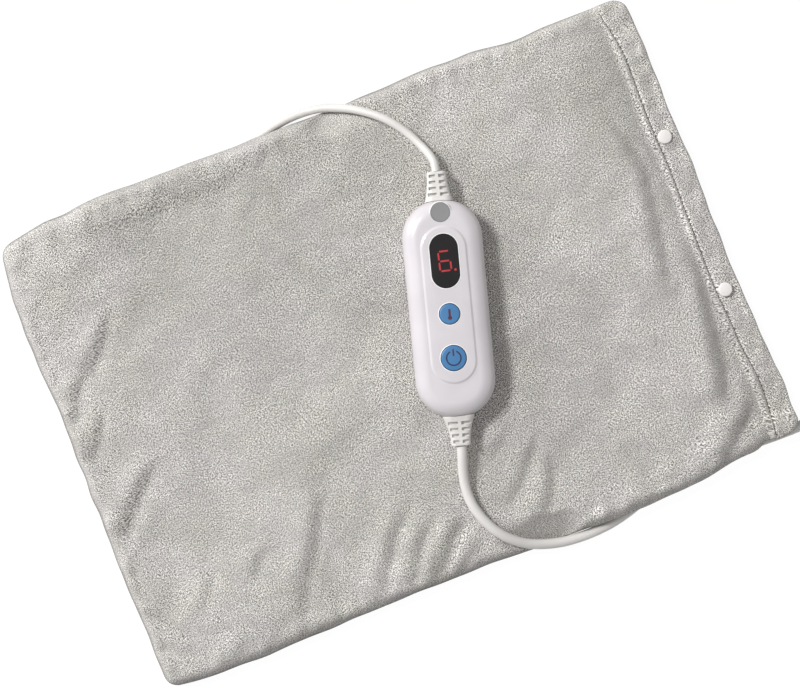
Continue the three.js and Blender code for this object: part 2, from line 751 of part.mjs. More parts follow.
// Press studs: cap and socket on the front panel, ball and back cap on the back panel
function makeStuds() {
  studPlaces.forEach(([x, y], index) => {
    const heights = padHeights(halfLength - studMouthInset, studAcross[index]);
    const name = `stud_${index + 1}`;
    const frontTop = heights.frontHigh + touchGap;
    const frontUnder = heights.frontLow - touchGap;
    const backTop = heights.backHigh + touchGap;
    const backUnder = heights.backLow - touchGap;
    const capEdge = studCapHeight / 3;
    const socketBore = studNubRadius + touchGap;
    const socketRoof = studSocketHeight / 3;
    const nubTop = frontUnder - socketRoof - touchGap;
    const pieces = {
      cap: turned([
        [0, frontUnder + touchGap], [studPostRadius, frontUnder + touchGap], [studPostRadius, frontTop],
        [studCapRadius, frontTop], [studCapRadius, frontTop + capEdge],
        [studCapRadius * studCrownShares[0], frontTop + studCapHeight * studCrownShares[1]],
        [0, frontTop + studCapHeight],
      ]),
      socket: turned([
        [0, frontUnder - socketRoof], [socketBore, frontUnder - socketRoof],
        [socketBore, frontUnder - studSocketHeight], [studFlangeRadius, frontUnder - studSocketHeight],
        [studFlangeRadius, frontUnder], [0, frontUnder],
      ]),
      ball: turned([
        [0, backTop], [studFlangeRadius, backTop], [studFlangeRadius, backTop + studFlangeHeight],
        [studNubRadius, backTop + studFlangeHeight], [studNubRadius, nubTop], [0, nubTop],
      ]),
      back: turned([
        [0, backUnder - studBackHeight], [studFlangeRadius, backUnder - studBackHeight],
        [studFlangeRadius, backUnder], [studPostRadius, backUnder],
        [studPostRadius, backTop - touchGap], [0, backTop - touchGap],
      ]),
    };
    for (const [piece, shape] of Object.entries(pieces)) {
      shape.translate(x, y, 0);
      place(root, `${name}_${piece}`, shape, cordWhite);
    }
  });
}

// Housing

// Rings of the housing's outside, drawn in by an inset, for the half above or below the parting line
function upperRings(inset, from) {
  const steps = 5;
  const rings = [bodyRing(inset, from)];
  for (let i = 0; i <= steps; i++) {
    const angle = i / steps * Math.PI / 2;
    rings.push(bodyRing(
      inset + (topRoundAcross - inset / 2) * (1 - Math.cos(angle)),
      bodyHeight - topRoundRise + (topRoundRise - inset) * Math.sin(angle)));
  }
  return rings;
}

function lowerRings(inset, to) {
  const steps = 4;
  const rings = [];
  for (let i = steps; i >= 0; i--) {
    const angle = i / steps * Math.PI / 2;
    rings.push(bodyRing(
      inset + (bottomRoundAcross - inset / 2) * (1 - Math.cos(angle)),
      bottomRoundRise - (bottomRoundRise - inset) * Math.sin(angle)));
  }
  rings.push(bodyRing(inset, to));
  return rings;
}

function bodyRing(inset, height) {
  const corner = bodyWidth / 2 - bodyCornerEase - inset;
  return roundedRing(bodyLength - 2 * inset, bodyWidth - 2 * inset, corner, height);
}

const screwPlaces = [[1, 1], [1, -1], [-1, 1], [-1, -1]].map(([a, b]) => (
  [a * (halfBody - screwEndInset), b * (bodyWidth / 2 - screwSideInset)]));
const buttons = [
  { name: 'temperature', place: temperaturePlaceShare, radius: temperatureRadius },
  { name: 'power', place: powerPlaceShare, radius: powerRadius },
].map((button) => ({ ...button, centre: plateauCentre + plateauLength * button.place }));
const sleeveEnds = [
  {
    name: 'pad_end', side: 1, base: padSleeveBase, cordDiameter: padCordDiameter,
  },
  {
    name: 'mains_end', side: -1, base: mainsSleeveBase, cordDiameter: mainsCordDiameter,
  },
];
const sealHeight = bodyTopInner - touchGap;
const boardTop = boardHeight + boardThickness;

function neckHoles() {
  return [
    rod(neckRadius + touchGap, halfBody - bodyWall - overrun, halfBody + overrun, 0, bodyPartHeight, 14),
    rod(neckRadius + touchGap, -halfBody - overrun, -halfBody + bodyWall + overrun, 0, bodyPartHeight, 14),
  ];
}

function makeHousingTop() {
  const shellBottom = bodyPartHeight + touchGap / 2;
  const plateau = loft([
    roundedRing(plateauLength, plateauWidth, plateauWidth / 2, bodyTopInner, plateauCentre),
    roundedRing(plateauLength, plateauWidth, plateauWidth / 2, bodyHeight, plateauCentre),
    roundedRing(plateauLength - plateauBevel, plateauWidth - plateauBevel,
      (plateauWidth - plateauBevel) / 2, plateauTop - plateauHeight / 4, plateauCentre),
    roundedRing(plateauLength - 2 * plateauBevel, plateauWidth - 2 * plateauBevel,
      (plateauWidth - 2 * plateauBevel) / 2, plateauTop, plateauCentre),
  ]);
  let shell = joined(loft(upperRings(0, shellBottom)), plateau);
  shell = cut(shell, loft(upperRings(bodyWall, shellBottom - overrun)));
  const badgeFace = badgeFaceHeight();
  const badgeSeat = badgeFace - badgeThickness - touchGap;
  const badgeBoss = post(badgeRadius + badgeRimWidth, badgeSeat - bodyWall, badgeFace, badgeCentre, 0, 24);
  shell = shell.add(toSolid(badgeBoss));
  for (const [x, y] of screwPlaces) {
    const boss = post(screwRadius + touchGap + bossWall, shellBottom, bodyTopInner + touchGap, x, y);
    shell = shell.add(toSolid(boss));
    shell = cut(shell, post(screwRadius + touchGap, shellBottom - overrun,
      bodyPartHeight + screwLength - screwHeadHeight, x, y, 12));
  }
  const windowSeat = plateauTop - windowThickness - touchGap;
  shell = cut(shell,
    post(badgeRadius + touchGap, badgeSeat, badgeFace + overrun, badgeCentre, 0, 24),
    roundedPlate(windowLength + 2 * touchGap, windowWidth + 2 * touchGap, windowWidth / 2 + touchGap,
      windowSeat, plateauTop + overrun, windowCentre),
    roundedPlate(windowLength - 2 * windowLedge, windowWidth - 2 * windowLedge, windowWidth / 2 - windowLedge,
      bodyTopInner - overrun, plateauTop + overrun, windowCentre),
    ...buttons.map((button) => post(button.radius + buttonSideGap, bodyTopInner - overrun,
      plateauTop + overrun, button.centre, 0, 28)),
    ...neckHoles());
  place(controller, 'housing_top', shell, glossWhite);
}

// The badge lies on the rounded head of the housing, on a low round pad with a level face
function badgeFaceHeight() {
  return bodyHeight - plateauHeight / 2;
}

function makeHousingBottom() {
  const shellTop = bodyPartHeight - touchGap / 2;
  let shell = toSolid(loft(lowerRings(0, shellTop)));
  shell = cut(shell, loft(lowerRings(bodyWall, shellTop + overrun)));
  const headSeat = screwHeadSeat();
  for (const [x, y] of screwPlaces) {
    shell = shell.add(toSolid(post(screwHeadRadius + touchGap + bossWall, bodyWall / 2, shellTop, x, y)));
    shell = cut(shell,
      post(screwHeadRadius + touchGap, -overrun, headSeat, x, y),
      post(screwRadius + touchGap, -overrun, shellTop + overrun, x, y, 12));
  }
  for (const [x, y] of boardPostPlaces()) {
    shell = shell.add(toSolid(post(boardPostRadius, bodyWall / 2, boardHeight - touchGap, x, y, 12)));
  }
  place(controller, 'housing_bottom', cut(shell, ...neckHoles()), glossWhite);
}

function screwHeadSeat() {
  return bodyPartHeight / 2;
}

function boardPostPlaces() {
  const x = boardLength / 2 - boardPostEndInset;
  const y = boardWidth / 2 - boardPostSideInset;
  return [[x, y], [x, -y], [-x, y], [-x, -y]];
}

function makeScrews() {
  const headTop = screwHeadSeat() - touchGap;
  screwPlaces.forEach(([x, y], index) => {
    const tip = headTop + screwLength - screwHeadHeight - touchGap;
    const screw = turned([
      [0, headTop - screwHeadHeight], [screwHeadRadius, headTop - screwHeadHeight], [screwHeadRadius, headTop],
      [screwRadius, headTop], [screwRadius, tip - screwRadius], [0, tip],
    ], 12);
    place(controller, `housing_screw_${index + 1}`, screw.translate(x, y, 0), steelGrey);
  });
}

function makeWindowAndBadge() {
  const windowLow = plateauTop - windowThickness;
  place(controller, 'display_window', loft([
    roundedRing(windowLength, windowWidth, windowWidth / 2, windowLow, windowCentre),
    roundedRing(windowLength, windowWidth, windowWidth / 2, plateauTop - touchGap / 2, windowCentre),
    roundedRing(windowLength - touchGap, windowWidth - touchGap, (windowWidth - touchGap) / 2,
      plateauTop, windowCentre),
  ]), windowBlack);
  const badgeTop = badgeFaceHeight();
  place(controller, 'badge_disc', turned([
    [0, badgeTop - badgeThickness], [badgeRadius, badgeTop - badgeThickness],
    [badgeRadius, badgeTop - touchGap / 2], [badgeRadius - touchGap / 2, badgeTop], [0, badgeTop],
  ], 28).translate(badgeCentre, 0, 0), badgeGrey);
}

// Buttons with a flange that holds them in, and the tactile switches that they press
function makeButtons() {
  const flangeTop = sealHeight;
  const flangeLow = flangeTop - buttonFlangeHeight;
  const switchLow = boardTop + touchGap;
  const switchTop = switchLow + switchHeight;
  const plungerTop = switchTop + plungerProud;
  const plungerLow = switchLow + plungerFloor + buttonTravel + touchGap;
  const rim = plateauTop + buttonProud - buttonCrown;
  for (const { name, centre, radius } of buttons) {
    const cap = turned([
      [0, plungerTop + touchGap], [buttonStemRadius, plungerTop + touchGap], [buttonStemRadius, flangeLow],
      [radius + buttonFlangeWidth, flangeLow], [radius + buttonFlangeWidth, flangeTop], [radius, flangeTop],
      [radius, rim], [radius - buttonCrown, rim + buttonCrown * buttonCrownShares[1]],
      [radius * buttonCrownShares[0], rim + buttonCrown], [0, rim + buttonCrown],
    ], 24);
    place(controller, `button_${name}`, cap.translate(centre, 0, 0), buttonBlue);
    const half = switchSide / 2;
    const body = cut(toSolid(block(centre - half, centre + half, -half, half, switchLow, switchTop)),
      post(plungerRadius + touchGap, switchLow + plungerFloor, switchTop + overrun, centre, 0, 14));
    place(controller, `switch_body_${name}`, body, partBlack);
    place(controller, `switch_plunger_${name}`,
      post(plungerRadius, plungerLow, plungerTop, centre, 0, 14), cordWhite);
  }
}

function makeBoard() {
  place(controller, 'circuit_board',
    roundedPlate(boardLength, boardWidth, boardCorner, boardHeight, boardTop), boardGreen);
  const seat = boardTop + touchGap;
  const add = (...piece) => place(controller, ...piece);
  const halfDisplay = windowLength * displayLengthShare / 2;
  const halfDisplayWidth = windowWidth * displayWidthShare / 2;
  add('display_module', block(windowCentre - halfDisplay, windowCentre + halfDisplay,
    -halfDisplayWidth, halfDisplayWidth, seat, plateauTop - windowThickness - touchGap), partBlack);
  const film = boardLength * filmPlaceShare / 2;
  add('film_capacitor', block(film - filmLength / 2, film + filmLength / 2,
    sidePartAcross - filmWidth / 2, sidePartAcross + filmWidth / 2, seat, seat + filmHeight), brassYellow);
  const fuse = boardLength * fusePlaceShare / 2;
  add('board_fuse', rod(fuseRadius, fuse - fuseLength / 2, fuse + fuseLength / 2,
    -sidePartAcross, seat + fuseRadius), steelGrey);
  const triac = boardLength * triacPlaceShare / 2;
  add('power_triac', joined(
    block(triac - triacWidth / 2, triac + triacWidth / 2, sidePartAcross - triacDepth / 2,
      sidePartAcross + triacDepth / 2, seat, seat + triacHeight),
    block(triac - triacWidth / 2, triac + triacWidth / 2, sidePartAcross + triacDepth / 4,
      sidePartAcross + triacDepth / 2, seat, seat + triacHeight + overrun / 2)), partBlack);
  const smoothing = boardLength * smoothingPlaceShare / 2;
  add('smoothing_capacitor',
    post(smoothingRadius, seat, seat + smoothingHeight, smoothing, sidePartAcross), partBlack);
  const chip = boardLength * chipPlaceShare / 2;
  add('control_chip', block(chip - chipLength / 2, chip + chipLength / 2,
    -sidePartAcross - chipWidth / 2, -sidePartAcross + chipWidth / 2, seat, seat + chipHeight), partBlack);
  for (const { name, side } of sleeveEnds) {
    const outer = boardLength / 2;
    const terminal = block(outer - terminalLength, outer, -terminalWidth / 2, terminalWidth / 2,
      seat, seat + terminalHeight);
    const bores = [-1, 1].map((hand) => rod(terminalBore, outer - terminalLength / 2, outer + overrun,
      hand * coreWireAcross, coreHeight, 10));
    const shape = toGeometry(cut(toSolid(terminal), ...bores));
    add(`terminal_block_${name}`, side > 0 ? shape : shape.rotateZ(Math.PI), boardGreen);
  }
}
// Ribbed sleeve that seats on the housing's end, its neck held between the shells
function makeSleeves() {
  const seatRings = [...lowerRings(-touchGap, bodyPartHeight), ...upperRings(-touchGap, bodyPartHeight)];
  const seatTool = loft(seatRings);
  const cavityInset = bodyWall + touchGap;
  const cavity = toSolid(loft([
    ...lowerRings(cavityInset, bodyPartHeight), ...upperRings(cavityInset, bodyPartHeight)]));
  const rootSpan = overrun * 2;
  for (const { name, side, base, cordDiameter } of sleeveEnds) {
    const along = sleeveRingShares.map((share) => share * sleeveLength);
    const widthAt = (x) => sleeveTipWidth + (base - sleeveTipWidth) * (1 - x / sleeveLength) ** 2;
    const ring = (width, x) => (
      roundedRing(width * sleeveHeightShare, width, width * sleeveCornerShare, x, 0, 3));
    const rings = [ring(base, -rootSpan), ...along.map((x) => ring(widthAt(x), x))];
    rings.push(ring(sleeveTipWidth - touchGap * 2, sleeveLength));
    const shell = loft(rings);
    const pitch = (sleeveLength - sleeveTipBand - sleeveRootBand - pocketWidth) / (sleeveRows - 1);
    const pockets = [];
    for (let row = 0; row < sleeveRows; row++) {
      const start = sleeveRootBand + row * pitch;
      const width = widthAt(start + pocketWidth / 2);
      const face = width * sleeveHeightShare / 2;
      for (const [up, across] of [[1, 1], [1, -1], [-1, 1], [-1, -1]]) {
        const sides = [across * spineWidth / 2, across * (width / 2 - railWidth)].sort((a, b) => a - b);
        const faces = [up * (face - pocketDepth), up * (face + overrun)].sort((a, b) => a - b);
        pockets.push(block(...faces, ...sides, start, start + pocketWidth));
      }
    }
    let sleeve = cut(toSolid(shell), ...pockets);
    sleeve = toSolid(toGeometry(sleeve).rotateY(Math.PI / 2).translate(halfBody, 0, bodyPartHeight));
    sleeve = cut(sleeve, seatTool);
    const wallInner = halfBody - bodyWall;
    const collarEnd = wallInner - touchGap;
    const collarStart = collarEnd - neckCollarLength;
    const collar = toSolid(rod(neckCollarRadius, collarStart, collarEnd, 0, bodyPartHeight, 14));
    sleeve = sleeve
      .add(toSolid(rod(neckRadius, collarStart, halfBody + overrun, 0, bodyPartHeight, 14)))
      .add(collar.intersect(cavity))
      .add(toSolid(rod(cordDiameter / 2, collarStart - jacketStubLength, collarEnd, 0, bodyPartHeight, 16)));
    const geometry = toGeometry(sleeve);
    place(controller, `strain_relief_${name}`, side > 0 ? geometry : geometry.rotateZ(Math.PI), cordWhite);
    makeClampAndCores(name, side, cordDiameter, collarStart);
  }
}

// Saddle over the cord's jacket inside the housing, and the two cores beyond it
function makeClampAndCores(name, side, cordDiameter, collarStart) {
  const middle = collarStart - touchGap - clampLength;
  const inner = cordDiameter / 2 + touchGap;
  const outer = inner + clampWall;
  const saddle = joined(
    rod(outer, middle, middle + clampLength, 0, bodyPartHeight, 14),
    block(middle, middle + clampLength, -outer - clampFoot, outer + clampFoot,
      bodyPartHeight - clampWall, bodyPartHeight));
  const opened = cut(saddle,
    rod(inner, middle - overrun, middle + clampLength + overrun, 0, bodyPartHeight, 16),
    block(middle - overrun, middle + clampLength + overrun, -inner, inner,
      bodyPartHeight - outer - overrun, bodyPartHeight),
    block(middle - overrun, middle + clampLength + overrun, -outer - clampFoot - overrun,
      outer + clampFoot + overrun, bodyPartHeight - outer - overrun, bodyPartHeight - clampWall));
  const clamp = toGeometry(opened);
  place(controller, `cord_clamp_${name}`, side > 0 ? clamp : clamp.rotateZ(Math.PI), glossWhite);
  const start = boardLength / 2 - terminalLength / 2 + touchGap;
  const end = collarStart - jacketStubLength - touchGap;
  [-1, 1].forEach((hand, index) => {
    const core = rod(coreWireDiameter / 2, start, end, hand * coreWireAcross, coreHeight, 8);
    place(controller, `core_${name}_${index + 1}`, side > 0 ? core : core.rotateZ(Math.PI), wireRed);
  });
}

// Entry of the pad lead: a sleeve under the pad, a neck through the slit and a collar inside
function makeEntry() {
  const [tipX, tipY, tipZ] = entryTip;
  const sleeveStart = tipX - touchGap;
  const sleeve = turned([
    [0, 0], [entrySleeveTipRadius - touchGap, 0], [entrySleeveTipRadius, touchGap * 2],
    [entrySleeveTipRadius, entrySleeveLength * entrySleeveShares[0]],
    [entrySleeveBaseRadius, entrySleeveLength * entrySleeveShares[1]],
    [entrySleeveBaseRadius, entrySleeveLength + overrun], [0, entrySleeveLength + overrun],
  ], 16).rotateY(-Math.PI / 2).translate(sleeveStart, tipY, tipZ);
  const blockLow = tipZ - entrySleeveBaseRadius;
  const blockHigh = tipZ + entrySleeveBaseRadius;
  const backTop = entryClearHeight + plushThickness + touchGap;
  const collarTop = backTop + entryCollarHeight;
  const entry = joined(sleeve,
    block(entryBlockEnd, entryBlockStart, entryNeckY[0] - entryCollarOverlap / 2,
      tipY + entrySleeveBaseRadius, blockLow, blockHigh),
    block(...entryNeckX, ...entryNeckY, blockHigh - overrun, collarTop),
    block(entryNeckX[0] - entryCollarOverlap, entryNeckX[1] + entryCollarOverlap,
      entryNeckY[0] - entryCollarOverlap / 2, entryNeckY[1] + entryCollarOverlap / 2, backTop, collarTop));
  place(root, 'entry_relief', entry, cordWhite);
}

// Coil of the length of lead that is put away: in on the lower layer, out on the upper one
function coilPoints() {
  const points = [];
  const outer = coilMeanRadius + coilPitch * coilTurnsALayer / 2;
  const inner = outer - coilPitch * coilTurnsALayer;
  const start = THREE.MathUtils.degToRad(coilStartDegrees);
  const at = (turn, radius, height) => {
    const angle = start - 2 * Math.PI * turn;
    return [coilCentre[0] + radius * Math.cos(angle), coilCentre[1] + radius * Math.sin(angle), height];
  };
  const layerSteps = coilTurnsALayer * coilStepsATurn;
  const climbSteps = coilStepsATurn / 2;
  for (let i = 0; i <= layerSteps; i++) {
    points.push(at(i / coilStepsATurn, THREE.MathUtils.lerp(outer, inner, i / layerSteps), coilLowHeight));
  }
  for (let i = 1; i < climbSteps; i++) {
    const climb = THREE.MathUtils.smoothstep(i / climbSteps, 0, 1);
    const dip = coilClimbDip * Math.sin(Math.PI * i / climbSteps);
    points.push(at(coilTurnsALayer + i / coilStepsATurn, inner - dip,
      THREE.MathUtils.lerp(coilLowHeight, coilHighHeight, climb)));
  }
  for (let i = 0; i <= layerSteps; i++) {
    points.push(at(coilTurnsALayer + (climbSteps + i) / coilStepsATurn,
      THREE.MathUtils.lerp(inner, outer, i / layerSteps), coilHighHeight));
  }
  return points;
}

// Straight ends of the coil: one diameter at its start, and a tail down to the plug
function wholeCoil() {
  const turns = coilPoints();
  const first = new THREE.Vector3(...turns[0]);
  const startAngle = THREE.MathUtils.degToRad(coilStartDegrees);
  const startHeading = new THREE.Vector3(Math.sin(startAngle), -Math.cos(startAngle), 0);
  const lead = first.clone().addScaledVector(startHeading, -mainsCordDiameter);
  const last = new THREE.Vector3(...turns[turns.length - 1]);
  const tailHeading = startHeading.clone().negate();
  const tail = [];
  for (let i = 1; i <= coilTailSteps; i++) {
    const along = coilTailLength * i / coilTailSteps;
    const drop = THREE.MathUtils.smoothstep(i / (coilTailSteps - 1), 0, 1);
    const spot = last.clone().addScaledVector(tailHeading, along);
    spot.z = THREE.MathUtils.lerp(coilHighHeight, plugHeight / 2, drop);
    tail.push(spot);
  }
  const points = [lead.toArray(), ...turns, ...tail.map((spot) => spot.toArray())];
  return { points, tailHeading, tailEnd: tail.at(-1) };
}

// Least gap between stretches of a wound tube that are more than half a turn apart
function leastGap(points, diameter) {
  let least = Infinity;
  for (let i = 0; i < points.length; i++) {
    for (let j = i + coilStepsATurn / 2; j < points.length; j++) {
      const distance = Math.hypot(...points[i].map((value, axis) => value - points[j][axis]));
      least = Math.min(least, distance - diameter);
    }
  }
  return least;
}

function makeCords() {
  place(root, 'pad_lead', cord(padLeadRoute, padCordDiameter, padCordSteps, cordSides), cordWhite);
  const coil = wholeCoil();
  const coilStart = new THREE.Vector3(...coil.points[0]);
  const heading = new THREE.Vector3(...coil.points[1]).sub(coilStart).normalize();
  const leadEnd = coilStart.clone().addScaledVector(heading, -touchGap);
  const leadNear = leadEnd.clone().addScaledVector(heading, -mainsCordDiameter);
  const route = [...mainsLeadRoute, leadNear.toArray(), leadEnd.toArray()];
  place(root, 'mains_lead', cord(route, mainsCordDiameter, mainsCordSteps, cordSides), cordWhite);
  place(root, 'mains_lead_coil', sweep(coil.points, mainsCordDiameter / 2, coilSides), cordWhite);
  console.log(`coil: least gap to itself ${leastGap(coil.points, mainsCordDiameter).toFixed(2)} mm`);
  return coil;
}

// Band round the coil's turns
function makeTie() {
  const inside = mainsCordDiameter / 2 + touchGap * 2;
  const outerRadius = coilMeanRadius + coilPitch * coilTurnsALayer / 2 + inside;
  const innerRadius = coilMeanRadius - coilPitch * coilTurnsALayer / 2 - inside;
  const high = coilHighHeight + mainsCordDiameter / 2 + touchGap;
  const low = tieThickness;
  const width = outerRadius - innerRadius;
  const band = cut(
    toSolid(block(-width / 2 - tieThickness, width / 2 + tieThickness, -tieWidth / 2, tieWidth / 2,
      low - tieThickness, high + tieThickness)),
    block(-width / 2, width / 2, -tieWidth, tieWidth, low, high));
  const angle = THREE.MathUtils.degToRad(tieDegrees);
  const geometry = toGeometry(band).rotateZ(angle).translate(
    coilCentre[0] + coilMeanRadius * Math.cos(angle), coilCentre[1] + coilMeanRadius * Math.sin(angle), 0);
  place(root, 'coil_tie', geometry, partBlack);
}

// Flat two-pole plug on the end of the coil's tail, lying on the floor
function makePlug(coil) {
  const plug = new THREE.Group();
  plug.position.copy(coil.tailEnd);
  plug.rotation.z = Math.atan2(coil.tailHeading.y, coil.tailHeading.x);
  root.add(plug);
  const sleeve = turned([
    [0, 0], [plugSleeveRadius * plugSleeveRadiusShares[0], 0],
    [plugSleeveRadius * plugSleeveRadiusShares[1], plugSleeveLength * plugSleeveLengthShares[0]],
    [plugSleeveRadius, plugSleeveLength * plugSleeveLengthShares[1]],
    [plugSleeveRadius, plugSleeveLength], [0, plugSleeveLength],
  ], 16).rotateY(Math.PI / 2).translate(touchGap, 0, 0);
  place(plug, 'plug_relief', sleeve, cordWhite);

  const bodyStart = touchGap + plugSleeveLength + touchGap;
  const body = loft(plugRingShares.map((shares) => {
    const [width, height] = [shares.width * plugWidth, shares.height * plugHeight];
    return roundedRing(height, width, height * plugCornerShare, shares.along * plugLength, 0, 5);
  })).rotateY(Math.PI / 2).translate(bodyStart, 0, 0);
  const face = bodyStart + plugLength;
  let shell = toSolid(body);
  for (const hand of [-1, 1]) {
    const y = hand * pinSpacing / 2;
    const sheathEnd = face + pinSheathLength;
    shell = shell.add(toSolid(rod(pinRadius, face - overrun, sheathEnd, y, 0, 14)));
    shell = cut(shell, rod(pinShankRadius + touchGap, face - overrun, sheathEnd + overrun, y, 0, 10));
  }
  place(plug, 'plug_body', shell, cordWhite);
  [-1, 1].forEach((hand, index) => {
    const tip = face + pinLength;
    const shankEnd = face + pinSheathLength + touchGap;
    const pin = turned([
      [0, face - overrun + touchGap], [pinShankRadius, face - overrun + touchGap], [pinShankRadius, shankEnd],
      [pinRadius, shankEnd], [pinRadius, tip - pinRadius / 2], [pinRadius / 2, tip], [0, tip],
    ], 14).rotateY(Math.PI / 2).translate(0, hand * pinSpacing / 2, 0);
    place(plug, `plug_pin_${index + 1}`, pin, steelGrey);
  });
}

makeCover();
makeInsert();
makeInsertCores();
makeStuds();
makeEntry();
makeHousingTop();
makeHousingBottom();
makeScrews();
makeWindowAndBadge();
makeButtons();
makeBoard();
makeSleeves();
const coil = makeCords();
makeTie();
makePlug(coil);

export default root;
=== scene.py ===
"""Looks of a heating pad in a plush slip-on cover, with its hand controller.

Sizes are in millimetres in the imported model's frame, and turn into metres where a piece is made.
"""
import json
import math

import bmesh
import bpy
import numpy as np
from mathutils import Matrix, Vector


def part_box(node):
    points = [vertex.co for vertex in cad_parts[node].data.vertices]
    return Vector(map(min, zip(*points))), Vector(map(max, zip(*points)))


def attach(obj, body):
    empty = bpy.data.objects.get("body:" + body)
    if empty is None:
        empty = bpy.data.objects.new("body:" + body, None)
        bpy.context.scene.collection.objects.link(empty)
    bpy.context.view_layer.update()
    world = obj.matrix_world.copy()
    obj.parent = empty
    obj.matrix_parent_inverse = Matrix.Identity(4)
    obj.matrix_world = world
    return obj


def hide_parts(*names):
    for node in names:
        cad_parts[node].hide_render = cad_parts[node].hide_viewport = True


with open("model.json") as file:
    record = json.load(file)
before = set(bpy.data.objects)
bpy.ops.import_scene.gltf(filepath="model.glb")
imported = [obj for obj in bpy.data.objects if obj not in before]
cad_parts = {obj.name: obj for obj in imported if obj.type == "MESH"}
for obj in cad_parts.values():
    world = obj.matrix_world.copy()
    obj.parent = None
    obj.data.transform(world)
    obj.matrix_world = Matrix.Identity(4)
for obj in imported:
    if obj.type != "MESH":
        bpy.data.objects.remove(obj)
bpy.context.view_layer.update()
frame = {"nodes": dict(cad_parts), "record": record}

MILLIMETRE = 0.001
TOUCH_GAP = 0.3
OVERRUN = 2.0
WELD = 0.0005
JOIN = 0.01

# Cover
COVER_LENGTH = 444
COVER_WIDTH = 315
HALF_LENGTH = COVER_LENGTH / 2
HALF_WIDTH = COVER_WIDTH / 2
PLUSH = 1.4
RIM_SHARE = 0.95
HEM_WIDTH = 17
HEM_STEP = 3
SEWN_EDGE = 0.12
EDGE_RISE = 9
EDGE_FULLNESS = 3.2
MOUTH_RISE = 36
MOUTH_FULLNESS = 2
CORNER_SHARE = 0.006
CORNER_POWER = 14
CORNER_RADIUS = 8
SIDE_INSET_TOP_SHARES = (
    0.042, 0.015, 0.004, 0.006, 0.01, 0.012, 0.01, 0.008, -0.002, -0.001, 0.016, 0.01, 0.009)
SIDE_INSET_BOTTOM_SHARES = (
    0.012, -0.002, -0.001, 0.006, 0.011, 0.013, 0.014, 0.008, 0.007, 0.008, 0.022, 0.052, 0.068)
END_INSET_CLOSED_SHARES = (0.01, 0.011, 0.004, 0.007, 0.006, 0.007, -0.002, -0.001, 0.013)
END_INSET_MOUTH_SHARES = (0.001, 0.003, 0.013, 0.019, 0.02, 0.017, 0.024, 0.023, 0.03)
GRID_STEP = 2.6
FRONT_GRID_STEP = 2.1
EDGE_STEPS = (0, 0.25, 0.6, 1.1, 1.8, 2.8, 4.2)
HEM_LIFT = 1.4
STUD_ROOM = 3.2
LIFT_MARGIN = 0.9
LIFT_FLAT = 5.5
LIFT_FADE = 14.5

# Waves of the cloth: seed of the draws, count, shortest, longest and height
LONG_WAVES = (3, 26, 55, 130, 0.45)
SHORT_WAVES = (5, 30, 18, 42, 0.16)
PUCKERS = (8, 24, 9, 20, 0.5)
EDGE_SWAYS = ((11, 20, 20, 50, 0.25), (12, 20, 20, 50, 0.25))
PUCKER_REACH = 24
EDGE_SWAY_REACH = 15
EDGE_HELD = 5

# Pile of the plush: cells drawn out two ways, spread from a point high over the pad
PILE_CELL = 0.66
PILE_DRAWN_OUT = 1.35
PILE_WAYS = (29, -61)
PILE_APEX = 190
# Painted shade patch on the plush, for the shade of broad soft undulations: its spot on the floor plan, and
# the distances where it starts to fade and where it is gone
PAINTED_SHADE_SPOT = (-64, 82)
PAINTED_SHADE_REACH = (40, 150)

# Row of stitches that holds the hem
STITCH_FROM_MOUTH = 15.4
STITCH_PLACE = HALF_LENGTH - STITCH_FROM_MOUTH
STITCH_WANDER = (-1.0, 1.5, 0.3, -0.3, 0.0, 0.0, 0.3, 0.7, -3.0)
STITCH_LINES = (-4.0, -2.6, -1.6, -0.9, -0.4, 0, 0.4, 0.9, 1.6, 2.6, 4.0)
STITCH_PITCH = 3.1
STITCH_LENGTH = 2.4
STITCH_THICKNESS = 0.5
STITCH_LINE_REACH = 40
GROOVE_DEPTH = 0.7
GROOVE_REACH = 0.8
SHOULDER_RISE = 0.2
SHOULDER_PLACE = 3
SHOULDER_REACH = 2
GATHER_PLACE = 198.5
GATHER_DEPTH = 2.8
GATHER_REACH = 5.5
GATHER_FROM_SHARE = 0.8
GATHER_FADE_SHARE = 0.15
HEM_CALM_REACH = 12
HEM_FOLD_SHARE = 0.35

# Slack cloth of the front panel, as it is simulated
BUCKLE_COLUMNS = 97
BUCKLE_ROWS = 69
BUCKLE_RIM = 6
BUCKLE_SLACK = 0.0015
BUCKLE_BENDING = 8.0
BUCKLE_FRAMES = 20
BUCKLE_FALL = 1.5
BUCKLE_RISE = 3.0

